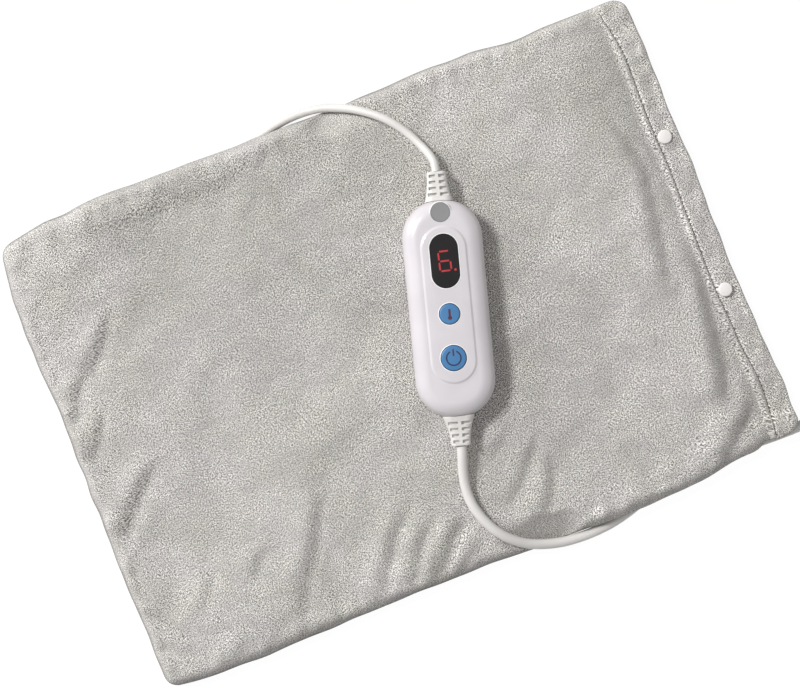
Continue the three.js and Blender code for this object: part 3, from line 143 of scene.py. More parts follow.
# Folds of the front panel: size, then the middle of the slope that faces the picture's right
FOLDS = (
    (1.5, (168.8, 99.5), (180.8, 72.1), (185.8, 46.1), (182.5, 19.9), (176.8, -12.3), (172.8, -28)),
    (3.0, (203.5, -5.6), (196, -33.6), (191.5, -62.8), (187, -92), (180, -109.9)),
    (3.4, (200.3, -111), (189.1, -127.2), (176.7, -136.2), (166.1, -145.8)),
    (1.9, (66, -75.8), (53.7, -95.1), (40.7, -110.7), (26, -122.1)),
    (1.2, (52.9, -70.7), (38.1, -82.1), (30.5, -87.4)),
    (1.6, (62.7, -98.6), (58.7, -117.7), (44.6, -139.7)),
    (2.7, (0.9, -119.2), (-9.7, -125.4), (-21.5, -138), (-35.1, -149.9)),
    (1.6, (4.8, -135.9), (-6.6, -143.8), (-16.1, -150.5)),
    (1.8, (-14, -110), (-30.6, -120.7), (-41.8, -137), (-51.2, -147.1)),
    (1.7, (-27.8, -101.2), (-45.6, -111.4), (-58.5, -130.5), (-69, -145)),
    (1.6, (-72.8, -66.4), (-87.5, -81.3), (-95.7, -98.8), (-111, -120.3), (-123.3, -143.1)),
    (2.6, (-165.1, -11), (-177.6, -18.5), (-185.6, -25), (-194.8, -34.5), (-204, -43.9), (-212.3, -53)),
    (1.7, (-160.7, 91.7), (-173.1, 75.9), (-183.1, 62.6), (-191.8, 54.3)),
    (1.6, (-193.2, 57.6), (-202.1, 47.3), (-209, 38.4), (-210.8, 30.2)),
    (1.8, (-189.8, 33), (-198.8, 18.6), (-207.5, 6.9), (-212.7, 0.7)),
    (1.2, (-162.7, -89.6), (-170.9, -103.5), (-179.1, -114.1)),
    (1.6, (-190.6, -132.9), (-196.4, -126.6), (-202.9, -118.5), (-210.5, -110.1)),
    (1.2, (-206.7, -145.9), (-209.6, -139.3), (-213.2, -131)),
    (1.4, (-159.9, -142.2), (-165.8, -146.7), (-174.5, -151.6)),
    (1.2, (-128.3, -89.2), (-134.1, -97.3), (-141.2, -104.8)),
)
FOLD_RIDGE = 0.9
FOLD_DIP = 0.66
FOLD_BACK = 7.5
FOLD_REACH = 3.8
FOLD_START_SHARE = 0.6
FOLD_LEAST_SHARE = 0.85
FOLD_SHARE_PER_SIZE = 0.1
FOLD_FADE = 0.35
FOLD_END_FADE = 0.12
FOLD_RUN_OUT = 10.0

# Heating insert
INSERT_INSET = 20
INSERT_STEP = 6
INSERT_EDGE_STEPS = (0, 0.8, 2.2, 4)
INTERFACE_LOW = PLUSH + TOUCH_GAP + 7.6
INTERFACE_HIGH = INTERFACE_LOW + 2.2
INSERT_BOTTOM_ROUND = 4
INSERT_TOP_ROUND = 2
INSERT_RIM_SHARE = 0.46
FULL_FILL = 12.5

# Controller
CONTROLLER_TURN = math.radians(74)
CONTROLLER_PLACE = (37.7, 8.2, 15.9)
BODY_LENGTH = 138
BODY_WIDTH = 51
BODY_HEIGHT = 22.4
BODY_CORNER = 24
BODY_PART = 10
BODY_WALL = 2
TOP_ROUND_ACROSS = 10.2
TOP_ROUND_RISE = 9.4
BOTTOM_ROUND_ACROSS = 7
BOTTOM_ROUND_RISE = 6
PLATEAU_LENGTH = 101
PLATEAU_WIDTH = 30.2
PLATEAU_HEIGHT = 0.8
PLATEAU_BEVEL = 1.8
PLATEAU_CENTRE = 2.3
PLATEAU_TOP = BODY_HEIGHT + PLATEAU_HEIGHT
SCREW_REACH = 53
SCREW_ACROSS = 12.5
SCREW_BORE = 1.6
SCREW_HEAD_BORE = 2.9
SCREW_BOSS = 3.1
SCREW_SEAT = 4.4
PILOT_DEPTH = 9.2
WINDOW_LENGTH = 34.4
WINDOW_WIDTH = 17.9
WINDOW_THICKNESS = 1.3
WINDOW_LEDGE = 2
WINDOW_CENTRE = 30
BADGE_CENTRE = 61
BADGE_RADIUS = 6.2
BADGE_THICKNESS = 1.1
BADGE_RIM = 0.8
BADGE_RIM_EDGE = 0.3
BADGE_EDGE = 0.15
BADGE_FACE = BODY_HEIGHT - PLATEAU_HEIGHT / 2
BUTTON_GAP = 0.35
BUTTON_RISE = 0.5
FLANGE_WIDTH = 1.3
FLANGE_HEIGHT = 1
STEM_RADIUS = 2
PLUNGER_TOP = 14.2
LIP_WIDTH = 0.5
LIP_RISE = 0.12
LIP_SINK = 0.1
DIGIT_HEIGHT = 12.4
DIGIT_WIDTH = 7.1
DIGIT_STROKE = 1.1
DIGIT_GAP = 0.25
DIGIT_TURN = math.radians(-88)
DIGIT_SINK = 0.05
DIGIT_THICKNESS = 0.09
POINT_RADIUS = 0.8
POINT_ASIDE = 2.5
CAP_CROWN = 0.15
CAP_ROUND_ACROSS = 0.9
CAP_ROUND_DOWN = 0.75

# Signs printed on the buttons, with each bar's length, width and corner
SIGN_SINK = 0.13
SIGN_THICKNESS = 0.16
POWER_RING = (4.1, 4.95)
POWER_OPENING = math.radians(26)
POWER_BAR = (4.4, 0.95, 0.4)
POWER_BAR_PLACE = 3.5
HEAT_STEM = (5.4, 1.4, 0.6)
HEAT_STEM_PLACE = 0.4
HEAT_BULB_RADIUS = 1.3
HEAT_BULB_PLACE = -2.5

# Buttons by name: place along the controller and radius
BUTTONS = {"temperature": (-3.5, 6.5), "power": (-31.5, 8)}

# Sleeves where the cords leave the controller
NECK_RADIUS = 5
COLLAR_LENGTH = 2.4
SLEEVE_LENGTH = 18.4
SLEEVE_TIP_WIDTH = 12.4
SLEEVE_HEIGHT_SHARE = 0.66
SLEEVE_CORNER_SHARE = 0.27
SLEEVE_STATIONS = 14
SLEEVE_EDGE = 0.5
SLEEVE_EDGE_FALL = 0.9
SLEEVE_ROWS = 4
SLEEVE_ROOT = 4
SLEEVE_TIP_BAND = 1.8
SLEEVE_ROOT_BAND = 2.8
POCKET_WIDTH = 2
POCKET_DEPTH = 2.3
SPINE_WIDTH = 2.2
RAIL_WIDTH = 1.3
SEAT_OVERLAP = 0.01

# Sleeves by name: side of the controller and width at the root
SLEEVES = {"pad_end": (1, 17.6), "mains_end": (-1, 20.2)}

# Cords
PAD_CORD = 5.4
MAINS_CORD = 6.5
PAD_LEAD_ROUTE = (
    (61.87, 92.5, 25.9), (62.8, 97.6, 25.6), (62.2, 102.9, 24.2), (59.3, 111.2, 21.2),
    (54.6, 121.4, 19.2), (48.4, 130.7, 18.7), (41.7, 138.3, 17.5), (34.5, 144.5, 15.2),
    (26.9, 150, 12.3), (18.8, 154.3, 9.3), (10.4, 157.8, 6.6), (-0.4, 160, 4.1), (-12.9, 160.2, 3),
    (-23.3, 158.8, 2.8), (-34.2, 156.2, 2.8), (-46, 152.6, 2.8), (-58, 149.6, 2.9), (-70, 147.9, 3.3),
    (-82, 147.2, 3.9), (-94, 147.2, 4.2))
PAD_LEAD_OVER_EDGE = 10
PAD_LEAD_FIRST_HIDDEN = 13
MAINS_LEAD_ROUTE = (
    (13.53, -76.1, 25.9), (12.1, -81.1, 25.4), (9.5, -89.1, 23), (7.3, -97.1, 20.8), (6.2, -105.6, 19.6),
    (6.7, -115.5, 19.3), (9.6, -125.5, 19.2), (14.6, -135.3, 18.5), (21.9, -144.1, 15.8),
    (31, -150.9, 12), (41.2, -155.4, 8.7), (51.7, -158.3, 6.2), (62.8, -159.7, 4.4), (74.4, -159.8, 3.6),
    (85.5, -158.8, 3.4), (97, -156.4, 3.4), (110, -152.4, 3.4), (124, -149, 3.4), (140, -147, 3.4),
    (158, -145.6, 3.4), (176, -144.8, 3.4), (194, -144.5, 3.4), (210, -144.8, 3.4), (224, -144.2, 3.5))
MAINS_LEAD_OVER_EDGE = 11
MAINS_LEAD_FIRST_HIDDEN = 14
PRESS_GAP = 0.5
PRESS_SLOPE = 0.7
ROUTE_STEPS = 6
COIL_CENTRE = (275, -176)
COIL_MEAN_RADIUS = 38
COIL_TURNS = 3
COIL_PITCH = MAINS_CORD + 0.5
COIL_DIP = 2
COIL_START = math.radians(115)
COIL_STEPS = 48
COIL_LOW = 4.35
COIL_HIGH = COIL_LOW + COIL_PITCH
COIL_TAIL = 30
COIL_TAIL_STEPS = 8
TIE_THICKNESS = 0.8
TIE_WIDTH = 7
TIE_TURN = math.radians(205)
TIE_OUTER_CORNER = 2.4
TIE_INNER_CORNER = 1.7
TIE_EDGE = 0.2
PLUG_LENGTH = 34
PLUG_WIDTH = 35.3
PLUG_HEIGHT = 13.7
PLUG_CORNER_SHARE = 0.42
PLUG_TAIL_HEIGHT_SHARE = 0.9
PLUG_TAIL_WIDTH_SHARE = 0.42
PLUG_STATIONS = 20
PLUG_EDGE_FROM = 0.95
PLUG_EDGE_FALL = 0.06
PLUG_SLEEVE_LENGTH = 26
PLUG_SLEEVE_RADIUS = 5.2
PLUG_RINGS = 5
PLUG_RING_START = 3
PLUG_RING_PITCH = 4.4
PLUG_RING_GROOVE = 0.9
PIN_RADIUS = 2
PIN_LENGTH = 19
PIN_SPACING = 18.6
PIN_SHEATH = 10
PIN_SHANK = 1.1
GRIP_PLACES = (10, 13, 16)
GRIP_HALF_WIDTH = 5
GRIP_HALF_LENGTH = 0.6
GRIP_DEPTH = 0.5
ENTRY_SLEEVE = 26
ENTRY_BLOCK = 10
ENTRY_RADIUS = 3.9

# The photograph's view: from straight above, the pad turned in the picture
VIEW_TURN = math.radians(-21.3)
VIEW_HEIGHT = 1500
VIEW_CENTRE = (0.8, -1.2)
VIEW_WIDTH = 516
VIEW_LEVEL = 5
SENSOR_WIDTH = 36

# Lamps, with place in the view's own directions and size in metres, and power in watts
LAMPS = {"key": ((-2.3, 1.4, 3.2), 1.0, 132), "rake": ((-3.3, 1.55, 1.1), 1.3, 62)}
SURROUND = 0.42
FLOOR_HALF = 3
FLOOR_GLOW = 1.09
FLOOR_GLOW_SHARE = 0.88


# Materials

class Value:
    """A socket's output. Arithmetic on a number adds Math nodes."""

    def __init__(self, nodes, socket):
        self.nodes = nodes
        self.socket = socket

    def maths(self, operation, *numbers):
        return self.nodes.node("ShaderNodeMath", {"operation": operation}, numbers)

    def __add__(self, other):
        return self.maths("ADD", self, other)

    def __sub__(self, other):
        return self.maths("SUBTRACT", self, other)

    def __rsub__(self, other):
        return self.maths("SUBTRACT", other, self)

    def __mul__(self, other):
        return self.maths("MULTIPLY", self, other)

    __radd__ = __add__
    __rmul__ = __mul__

    def larger(self, other):
        return self.maths("MAXIMUM", self, other)

    def between(self, low, high, to_low=0.0, to_high=1.0):
        """Smooth step from to_low at low to to_high at high."""
        values = {"Value": self, "From Min": low, "From Max": high, "To Min": to_low, "To Max": to_high}
        return self.nodes.node("ShaderNodeMapRange", {"interpolation_type": "SMOOTHSTEP"}, values)


class Nodes:
    """A tree of nodes that is added to."""

    def __init__(self, tree):
        self.tree = tree

    def node(self, kind, settings=None, values=(), output=0):
        """Adds a node with its settings, feeds its sockets by name or in order, and returns one output."""
        node = self.tree.nodes.new(kind)
        for name, setting in (settings or {}).items():
            setattr(node, name, setting)
        for key, value in (values.items() if isinstance(values, dict) else enumerate(values)):
            self.feed(node.inputs[key], value)
        return Value(self, node.outputs[output])

    def feed(self, socket, value):
        if isinstance(value, Value):
            self.tree.links.new(value.socket, socket)
        else:
            socket.default_value = value


class Look(Nodes):
    """A material of nodes round one Principled shader."""

    def __init__(self, name, **constants):
        self.material = bpy.data.materials.new(name)
        self.material.use_nodes = True
        super().__init__(self.material.node_tree)
        self.shader = self.tree.nodes["Principled BSDF"]
        for socket, value in constants.items():
            self.shader.inputs[socket.replace("_", " ")].default_value = value
        self.place = self.node("ShaderNodeTexCoord", output="Object")

    def noise(self, size, detail=2.0, roughness=0.5, stretch=None, warp=0.0):
        """Cloudy pattern with features of about the given size in millimetres."""
        place = self.place
        if stretch:
            place = self.node("ShaderNodeMapping", {}, {"Vector": place, "Scale": stretch})
        return self.node("ShaderNodeTexNoise", {}, {
            "Vector": place, "Scale": 1 / (size * MILLIMETRE), "Detail": detail, "Roughness": roughness,
            "Distortion": warp}, "Fac")

    def cells(self, size, length, angle):
        """Distance from the middles of small cells, drawn out by a factor along a direction in degrees.

        The flat pattern spreads from a point high over the pad, so that it covers upright sides as well.
        """
        height = self.node("ShaderNodeSeparateXYZ", {}, {"Vector": self.place}, "Z")
        spread = self.node("ShaderNodeVectorMath", {"operation": "SCALE"}, {
            "Vector": self.place, "Scale": 1 - height * (1 / (PILE_APEX * MILLIMETRE))})
        place = self.node("ShaderNodeMapping", {"vector_type": "TEXTURE"}, {
            "Vector": spread, "Rotation": (0, 0, math.radians(angle)), "Scale": (length, 1, 1)})
        return self.node("ShaderNodeTexVoronoi", {"voronoi_dimensions": "2D"}, {
            "Vector": place, "Scale": 1 / (size * MILLIMETRE), "Randomness": 0.8}, "Distance")

    def near(self, spot, low, high):
        """1 within a distance of a spot on the floor plan, 0 beyond a longer one, in millimetres."""
        centre = (*(value * MILLIMETRE for value in spot), 0)
        distance = self.node(
            "ShaderNodeVectorMath", {"operation": "DISTANCE"}, (self.place, centre), "Value")
        return distance.between(low * MILLIMETRE, high * MILLIMETRE, 1.0, 0.0)

    def mix(self, share, first, second):
        """Colour between two, by a share."""
        return self.node("ShaderNodeMix", {"data_type": "RGBA"}, {0: share, 6: first, 7: second}, 2)

    def bump(self, height, strength, depth):
        values = {"Height": height, "Strength": strength, "Distance": depth * MILLIMETRE}
        return self.node("ShaderNodeBump", {}, values)

    def finish(self, base, roughness, normal, **others):
        values = {"Base_Color": base, "Roughness": roughness, "Normal": normal, **others}
        for name, value in values.items():
            self.feed(self.shader.inputs[name.replace("_", " ")], value)
        return self.material


def colour(red, green, blue):
    """Linear colour of one written as 8-bit sRGB."""
    shares = [value / 255 for value in (red, green, blue)]
    return (*[s / 12.92 if s <= 0.04045 else ((s + 0.055) / 1.055) ** 2.4 for s in shares], 1.0)


def plush_material():
    """Short pile: tufts with painted highlights on their tops and painted shade in the hollows between
    them, over a bump of the same pattern, brushed streaks, painted shade where the cloth is seen edge on,
    and a darker, greener painted shade patch round a spot.
    """
    look = Look("plush", Sheen_Weight=0.05, Specular_IOR_Level=0.1)
    contrast = look.noise(70).between(0.35, 0.65, 1.5, 1.9)
    one_way, other_way = (look.cells(PILE_CELL, PILE_DRAWN_OUT, way) for way in PILE_WAYS)
    tuft = (one_way - other_way) * contrast + 0.5
    nap = look.noise(60, 3.0, 0.55, warp=0.8).between(0.35, 0.65)
    brushed = look.noise(15, 2.0, 0.6, stretch=(0.6, 1.0, 1.0), warp=1.2)
    # Painted highlight and shade of the pile: the tufts' tops take the light tones and the hollows between
    # them the dark ones, while the bump gives the same pattern real relief
    light = look.mix(nap, colour(241, 238, 231), colour(248, 244, 241))
    dark = look.mix(nap, colour(94, 91, 84), colour(104, 100, 96))
    # Facing of the surface, which drives painted shade where the cloth is seen edge on
    painted_edge_shade = look.node("ShaderNodeLayerWeight", {}, {"Blend": 0.5}, "Facing")
    base = look.mix(tuft, light, dark)
    for share, tone in (
            (0.35 * brushed.between(0.35, 0.7), colour(160, 156, 157)),
            (0.7 * painted_edge_shade.between(0.6, 1.0), colour(84, 82, 76)),
            # Painted shade patch round a spot, darker and greener
            (0.12 * look.near(PAINTED_SHADE_SPOT, *PAINTED_SHADE_REACH), colour(92, 96, 84))):
        base = look.mix(share, base, tone)
    return look.finish(base, brushed.between(0.3, 0.7, 0.82, 0.96), look.bump(1 - tuft, 0.4, 0.35))


def fleece_material():
    look = Look("fleece", Sheen_Weight=0.2, Specular_IOR_Level=0.2)
    fibre = look.noise(1.6, 4.0, 0.7, stretch=(1, 0.35, 1))
    base = look.mix(fibre.between(0.35, 0.65), colour(216, 212, 203), colour(238, 236, 230))
    return look.finish(base, 0.92, look.bump(fibre, 0.6, 0.6))


def moulded_material(name, low, high, roughness, grain=0.9, depth=0.03, coat=0.0, shine=0.5):
    """Moulded plastic or rubber: faint drift of colour, fine grain and uneven gloss."""
    look = Look(name, Coat_Weight=coat, Coat_Roughness=0.1, Specular_IOR_Level=shine)
    drift = look.noise(30)
    gloss = look.noise(7.5, 3.0, 0.6)
    return look.finish(
        look.mix(drift.between(0.3, 0.7), colour(*low), colour(*high)),
        gloss.between(0.3, 0.7, roughness * 0.93, roughness * 1.07),
        look.bump(look.noise(grain, 2.0, 0.6), 0.3, depth))


def steel_material():
    look = Look("steel", Metallic=1.0)
    brushed = look.noise(1.4, 3.0, 0.6, stretch=(1, 0.08, 1))
    return look.finish(
        look.mix(brushed.between(0.3, 0.7), colour(176, 178, 181), colour(226, 226, 228)),
        brushed.between(0.3, 0.7, 0.224, 0.364), look.bump(brushed, 0.2, 0.03))


def glowing_material():
    look = Look("display_segments", Emission_Strength=0.7)
    glow = look.noise(2.0)
    red = look.mix(glow.between(0.3, 0.7), colour(190, 36, 48), colour(208, 50, 60))
    return look.finish(colour(80, 8, 10), 0.4, look.bump(glow, 0.05, 0.01), Emission_Color=red)


# Moulded finishes: the two colours that they drift between, and roughness
MOULDED = {
    "housing": ((205, 200, 204), (211, 206, 209), 0.3),
    "lip": ((240, 238, 238), (246, 244, 244), 0.3),
    "cord": ((211, 208, 204), (219, 216, 213), 0.42),
    "stud": ((224, 221, 219), (232, 229, 227), 0.32),
    "window": ((30, 28, 29), (37, 34, 35), 0.14),
    "badge": ((128, 128, 129), (137, 137, 138), 0.4),
    "button": ((63, 116, 164), (72, 126, 174), 0.36),
    "board": ((38, 92, 58), (52, 112, 70), 0.4),
    "component": ((28, 28, 30), (38, 38, 40), 0.5),
    "film": ((196, 158, 70), (212, 172, 82), 0.45),
    "wire": ((168, 60, 42), (184, 72, 52), 0.5),
    "tie": ((26, 26, 27), (38, 38, 39), 0.75),
    "navy_print": ((22, 24, 60), (28, 30, 68), 0.4),
    "maroon_print": ((70, 26, 48), (80, 32, 54), 0.4),
    # Painted shade: the stitches are coloured dark for the shade of the groove that they lie in
    "thread": ((70, 67, 62), (88, 84, 78), 0.85),
}
SPECIAL_FINISH = {
    "housing": {"coat": 0.6}, "stud": {"coat": 0.2}, "window": {"depth": 0.005, "shine": 0.2},
    "tie": {"grain": 0.6, "depth": 0.3}}
MATERIALS = {
    "plush": plush_material(), "fleece": fleece_material(), "steel": steel_material(),
    "display_segments": glowing_material()}
for name, finish in MOULDED.items():
    MATERIALS[name] = moulded_material(name, *finish, **SPECIAL_FINISH.get(name, {}))


# Shapes, each a bmesh in millimetres

def smoothstep(value):
    value = np.clip(value, 0, 1)
    return value * value * (3 - 2 * value)


def plate(length, width, corner, centre=(0, 0, 0), steps=12):
    """A level face with round corners."""
    shape = bmesh.new()
    size = Matrix.Diagonal((length, width, 1, 1))
    bmesh.ops.create_grid(
        shape, x_segments=1, y_segments=1, size=0.5, matrix=Matrix.Translation(centre) @ size)
    if corner:
        bmesh.ops.bevel(
            shape, geom=shape.verts[:], offset=corner, offset_type="OFFSET", segments=steps,
            profile=0.5, affect="VERTICES", material=-1)
        bmesh.ops.remove_doubles(shape, verts=shape.verts[:], dist=JOIN)
    return shape


def raised(shape, steps):
    """Carries a single face up through steps of inset and rise, and closes the first outline."""
    face = shape.faces[:][0]
    for inset, rise_step in steps:
        bmesh.ops.inset_region(
            shape, faces=[face], thickness=inset, depth=rise_step, use_even_offset=True, use_boundary=True)
    bmesh.ops.holes_fill(shape, edges=[edge for edge in shape.edges if edge.is_boundary])
    return tidied(shape)


def stretched(shape, sections):
    """A closed body from a single face, carried up through sections.

    A section is a height above the face and shares of the face's sizes along X and Y.
    """
    face = shape.faces[:][0]
    height, wide, tall = 0.0, 1.0, 1.0
    for index, (next_height, next_wide, next_tall) in enumerate(sections):
        region = bmesh.ops.extrude_face_region(shape, geom=[face], use_keep_orig=True)["geom"]
        if index:
            bmesh.ops.delete(shape, geom=[face], context="FACES_ONLY")
        face = next(item for item in region if isinstance(item, bmesh.types.BMFace))
        bmesh.ops.scale(shape, vec=(next_wide / wide, next_tall / tall, 1), verts=face.verts[:])
        bmesh.ops.translate(shape, vec=(0, 0, next_height - height), verts=face.verts[:])
        height, wide, tall = next_height, next_wide, next_tall
    return tidied(shape)


def turned(profile, centre=(0, 0), steps=64, closed=False):
    """A body spun about an upright axis, from a profile of radius and height.

    The profile starts and ends on the axis, unless it is closed.
    """
    shape = bmesh.new()
    points = [shape.verts.new((radius, 0, height)) for radius, height in profile]
    pairs = [*zip(points, points[1:]), *([(points[-1], points[0])] if closed else [])]
    edges = [shape.edges.new(pair) for pair in pairs]
    bmesh.ops.spin(
        shape, geom=points + edges, cent=(0, 0, 0), axis=(0, 0, 1), angle=2 * math.pi, steps=steps,
        use_merge=True)
    bmesh.ops.translate(shape, vec=(*centre, 0), verts=shape.verts[:])
    return tidied(shape)


def bar(x0, x1, y0, y1, z0, z1):
    """A square block between three pairs of faces."""
    shape = bmesh.new()
    place = Matrix.Translation(((x0 + x1) / 2, (y0 + y1) / 2, (z0 + z1) / 2))
    bmesh.ops.create_cube(shape, size=1, matrix=place @ Matrix.Diagonal((x1 - x0, y1 - y0, z1 - z0, 1)))
    return shape


def rod(radius, start, end, height):
    """A cylinder lying along X at a height."""
    shape = bmesh.new()
    place = Matrix.Translation(((start + end) / 2, 0, height)) @ Matrix.Rotation(math.pi / 2, 4, "Y")
    bmesh.ops.create_cone(
        shape, cap_ends=True, segments=40, radius1=radius, radius2=radius, depth=end - start,
        matrix=place)
    return shape


def tidied(shape):
    bmesh.ops.remove_doubles(shape, verts=shape.verts[:], dist=WELD)
    bmesh.ops.recalc_face_normals(shape, faces=shape.faces[:])
    return shape


def moved(shape, matrix):
    bmesh.ops.transform(shape, matrix=matrix, verts=shape.verts[:])
    if matrix.determinant() < 0:
        bmesh.ops.reverse_faces(shape, faces=shape.faces[:])
    return shape


def gathered(shapes):
    """Several bodies in one bmesh."""
    first, *others = shapes
    for other in others:
        mesh = as_mesh("part", other)
        first.from_mesh(mesh)
        bpy.data.meshes.remove(mesh)
    return first


def as_mesh(name, shape):
    """Turns a bmesh into a mesh and frees it."""
    mesh = bpy.data.meshes.new(name)
    shape.to_mesh(mesh)
    shape.free()
    return mesh


def placed(name, data):
    """A new object of the scene."""
    obj = bpy.data.objects.new(name, data)
    bpy.context.scene.collection.objects.link(obj)
    return obj


def combined(base, *operations):
    """A body after joins and cuts, given as pairs of operation and tool."""
    whole = placed("tool", as_mesh("tool", base))
    tools = []
    for operation, tool in operations:
        tools.append(placed("tool", as_mesh("tool", tool)))
        modifier = whole.modifiers.new(operation, "BOOLEAN")
        modifier.operation = operation
        modifier.solver = "EXACT"
        modifier.object = tools[-1]
    graph = bpy.context.evaluated_depsgraph_get()
    result = bmesh.new()
    result.from_mesh(whole.evaluated_get(graph).to_mesh())
    for holder in (whole, *tools):
        bpy.data.objects.remove(holder)
    return tidied(result)


def softened(shape, width):
    """Rounds off the edges that turn by more than 50 degrees."""
    edges = [
        edge for edge in shape.edges
        if len(edge.link_faces) == 2 and edge.calc_face_angle(0) > math.radians(50)]
    bmesh.ops.bevel(
        shape, geom=edges, offset=width, offset_type="OFFSET", segments=2, profile=0.5,
        affect="EDGES", clamp_overlap=True, material=-1)
    return shape


def piece(name, shape, finish, body="root", replaces=(), matrix=None, sharp=35):
    """An object in metres from a bmesh in millimetres, riding on a body."""
    if matrix is not None:
        moved(shape, matrix)
    bmesh.ops.scale(shape, vec=(MILLIMETRE,) * 3, verts=shape.verts[:])
    mesh = as_mesh(name, shape)
    mesh.shade_smooth()
    mesh.set_sharp_from_angle(angle=math.radians(sharp))
    return mounted(name, mesh, finish, replaces, body)


def mounted(name, data, finish, replaces, body="root"):
    """An object with a finish, riding on a body, in the place of the CAD nodes that it replaces."""
    data.materials.append(MATERIALS[finish])
    obj = placed(name, data)
    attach(obj, body)
    if replaces:
        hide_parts(*replaces)
    return obj


# Camera, light and floor

def set_view():
    data = bpy.data.cameras.new("camera")
    data.sensor_width = SENSOR_WIDTH
    data.lens = SENSOR_WIDTH * (VIEW_HEIGHT - VIEW_LEVEL) / VIEW_WIDTH
    camera = placed("camera", data)
    camera.location = Vector((*VIEW_CENTRE, VIEW_HEIGHT)) * MILLIMETRE
    camera.rotation_euler = (0, 0, VIEW_TURN)
    bpy.context.scene.camera = camera
    bpy.context.scene.view_settings.view_transform = "Standard"


def seen_directly(nodes):
    """1 where a ray comes from the camera, a reflection or a transmission, otherwise 0."""
    camera, glossy, through = (
        nodes.node("ShaderNodeLightPath", output=f"Is {kind} Ray")
        for kind in ("Camera", "Glossy", "Transmission"))
    return camera.larger(glossy).larger(through)


def set_light():
    """Key light from the picture's upper left, a low one that rakes over the cloth, and the surround."""
    for name, (place, size, power) in LAMPS.items():
        data = bpy.data.lights.new(name, "AREA")
        data.shape = "DISK"
        data.size = size
        data.energy = power
        lamp = placed(name, data)
        lamp.location = Matrix.Rotation(VIEW_TURN, 3, "Z") @ Vector(place)
        lamp.rotation_euler = (-lamp.location).to_track_quat("-Z", "Y").to_euler()
    world = bpy.data.worlds.new("surround")
    world.use_nodes = True
    nodes = Nodes(world.node_tree)
    background = nodes.tree.nodes["Background"]
    background.inputs["Color"].default_value = (1, 1, 1, 1)
    nodes.feed(background.inputs["Strength"], seen_directly(nodes) * (1 - SURROUND) + SURROUND)
    bpy.context.scene.world = world


def make_floor():
    """A white floor that keeps a light shadow of the object."""
    look = Look("floor")
    shade = look.noise(400)
    look.finish(
        look.mix(shade.between(0.3, 0.7), colour(198, 198, 198), colour(203, 203, 203)), 0.9,
        look.bump(shade, 0.02, 0.1))
    glow = look.node("ShaderNodeEmission", {}, {"Strength": FLOOR_GLOW})
    plain = Value(look, look.shader.outputs[0])
    mixed = look.node("ShaderNodeMixShader", {}, (seen_directly(look) * FLOOR_GLOW_SHARE, plain, glow))
    look.feed(look.tree.nodes["Material Output"].inputs["Surface"], mixed)
    shape = bmesh.new()
    bmesh.ops.create_grid(shape, x_segments=1, y_segments=1, size=FLOOR_HALF)
    mesh = as_mesh("floor", shape)
    mesh.materials.append(look.material)
    placed("floor", mesh)


# Cords

def smooth_route(points):
    """Points of a centripetal Catmull-Rom curve through the given ones."""
    given = [np.array(point, float) for point in points]
    ends = [2 * given[0] - given[1], *given, 2 * given[-1] - given[-2]]
    route = []
    for a, b, c, d in zip(ends, ends[1:], ends[2:], ends[3:]):
        spans = [max(np.linalg.norm(q - p), 1e-6) ** 0.5 for p, q in ((a, b), (b, c), (c, d))]
        leave = (b - a) / spans[0] - (c - a) / (spans[0] + spans[1]) + (c - b) / spans[1]
        reach = (c - b) / spans[1] - (d - b) / (spans[1] + spans[2]) + (d - c) / spans[2]
        leave, reach = leave * spans[1], reach * spans[1]
        for step in range(ROUTE_STEPS):
            t = step / ROUTE_STEPS
            route.append(
                (2 * t ** 3 - 3 * t ** 2 + 1) * b + (t ** 3 - 2 * t ** 2 + t) * leave
                + (3 * t ** 2 - 2 * t ** 3) * c + (t ** 3 - t ** 2) * reach)
    return [Vector(point) for point in (*route, given[-1])]


def coil_route():
    """The coil's turns, inward on the lower layer and outward on the upper one, and a tail to the plug.

    Returns the route and the direction in which it enters the coil.
    """
    outer = COIL_MEAN_RADIUS + COIL_PITCH * COIL_TURNS / 2
    inner = outer - COIL_PITCH * COIL_TURNS
    layer = COIL_TURNS * COIL_STEPS
    climb = COIL_STEPS // 2

    def at(step, radius, height):
        angle = COIL_START - 2 * math.pi * step / COIL_STEPS
        return Vector((*COIL_CENTRE, height)) + radius * Vector((math.cos(angle), math.sin(angle), 0))

    points = [at(i, outer + (inner - outer) * i / layer, COIL_LOW) for i in range(layer + 1)]
    for i in range(1, climb):
        climbed = float(smoothstep(i / climb))
        dip = COIL_DIP * math.sin(math.pi * i / climb)
        points.append(at(layer + i, inner - dip, COIL_LOW + (COIL_HIGH - COIL_LOW) * climbed))
    points += [
        at(layer + climb + i, inner + (outer - inner) * i / layer, COIL_HIGH) for i in range(layer + 1)]
    heading = Vector((math.sin(COIL_START), -math.cos(COIL_START), 0))
    lead = points[0] - heading * MAINS_CORD
    tail = []
    for i in range(1, COIL_TAIL_STEPS + 1):
        fall = float(smoothstep(i / (COIL_TAIL_STEPS - 2)))
        spot = points[-1] - heading * COIL_TAIL * i / COIL_TAIL_STEPS
        tail.append(spot + Vector((0, 0, (PLUG_HEIGHT / 2 - COIL_HIGH) * fall)))
    return [lead, *points, *tail], heading


def cord_piece(name, points, diameter, replaces):
    data = bpy.data.curves.new(name, "CURVE")
    data.dimensions = "3D"
    data.bevel_depth = diameter / 2 * MILLIMETRE
    data.bevel_resolution = 6
    data.use_fill_caps = True
    spline = data.splines.new("POLY")
    spline.points.add(len(points) - 1)
    for target, point in zip(spline.points, points):
        target.co = (*(point * MILLIMETRE), 1.0)
    return mounted(name, data, "cord", replaces)


def route_length(points):
    return sum((b - a).length for a, b in zip(points, points[1:])) * MILLIMETRE


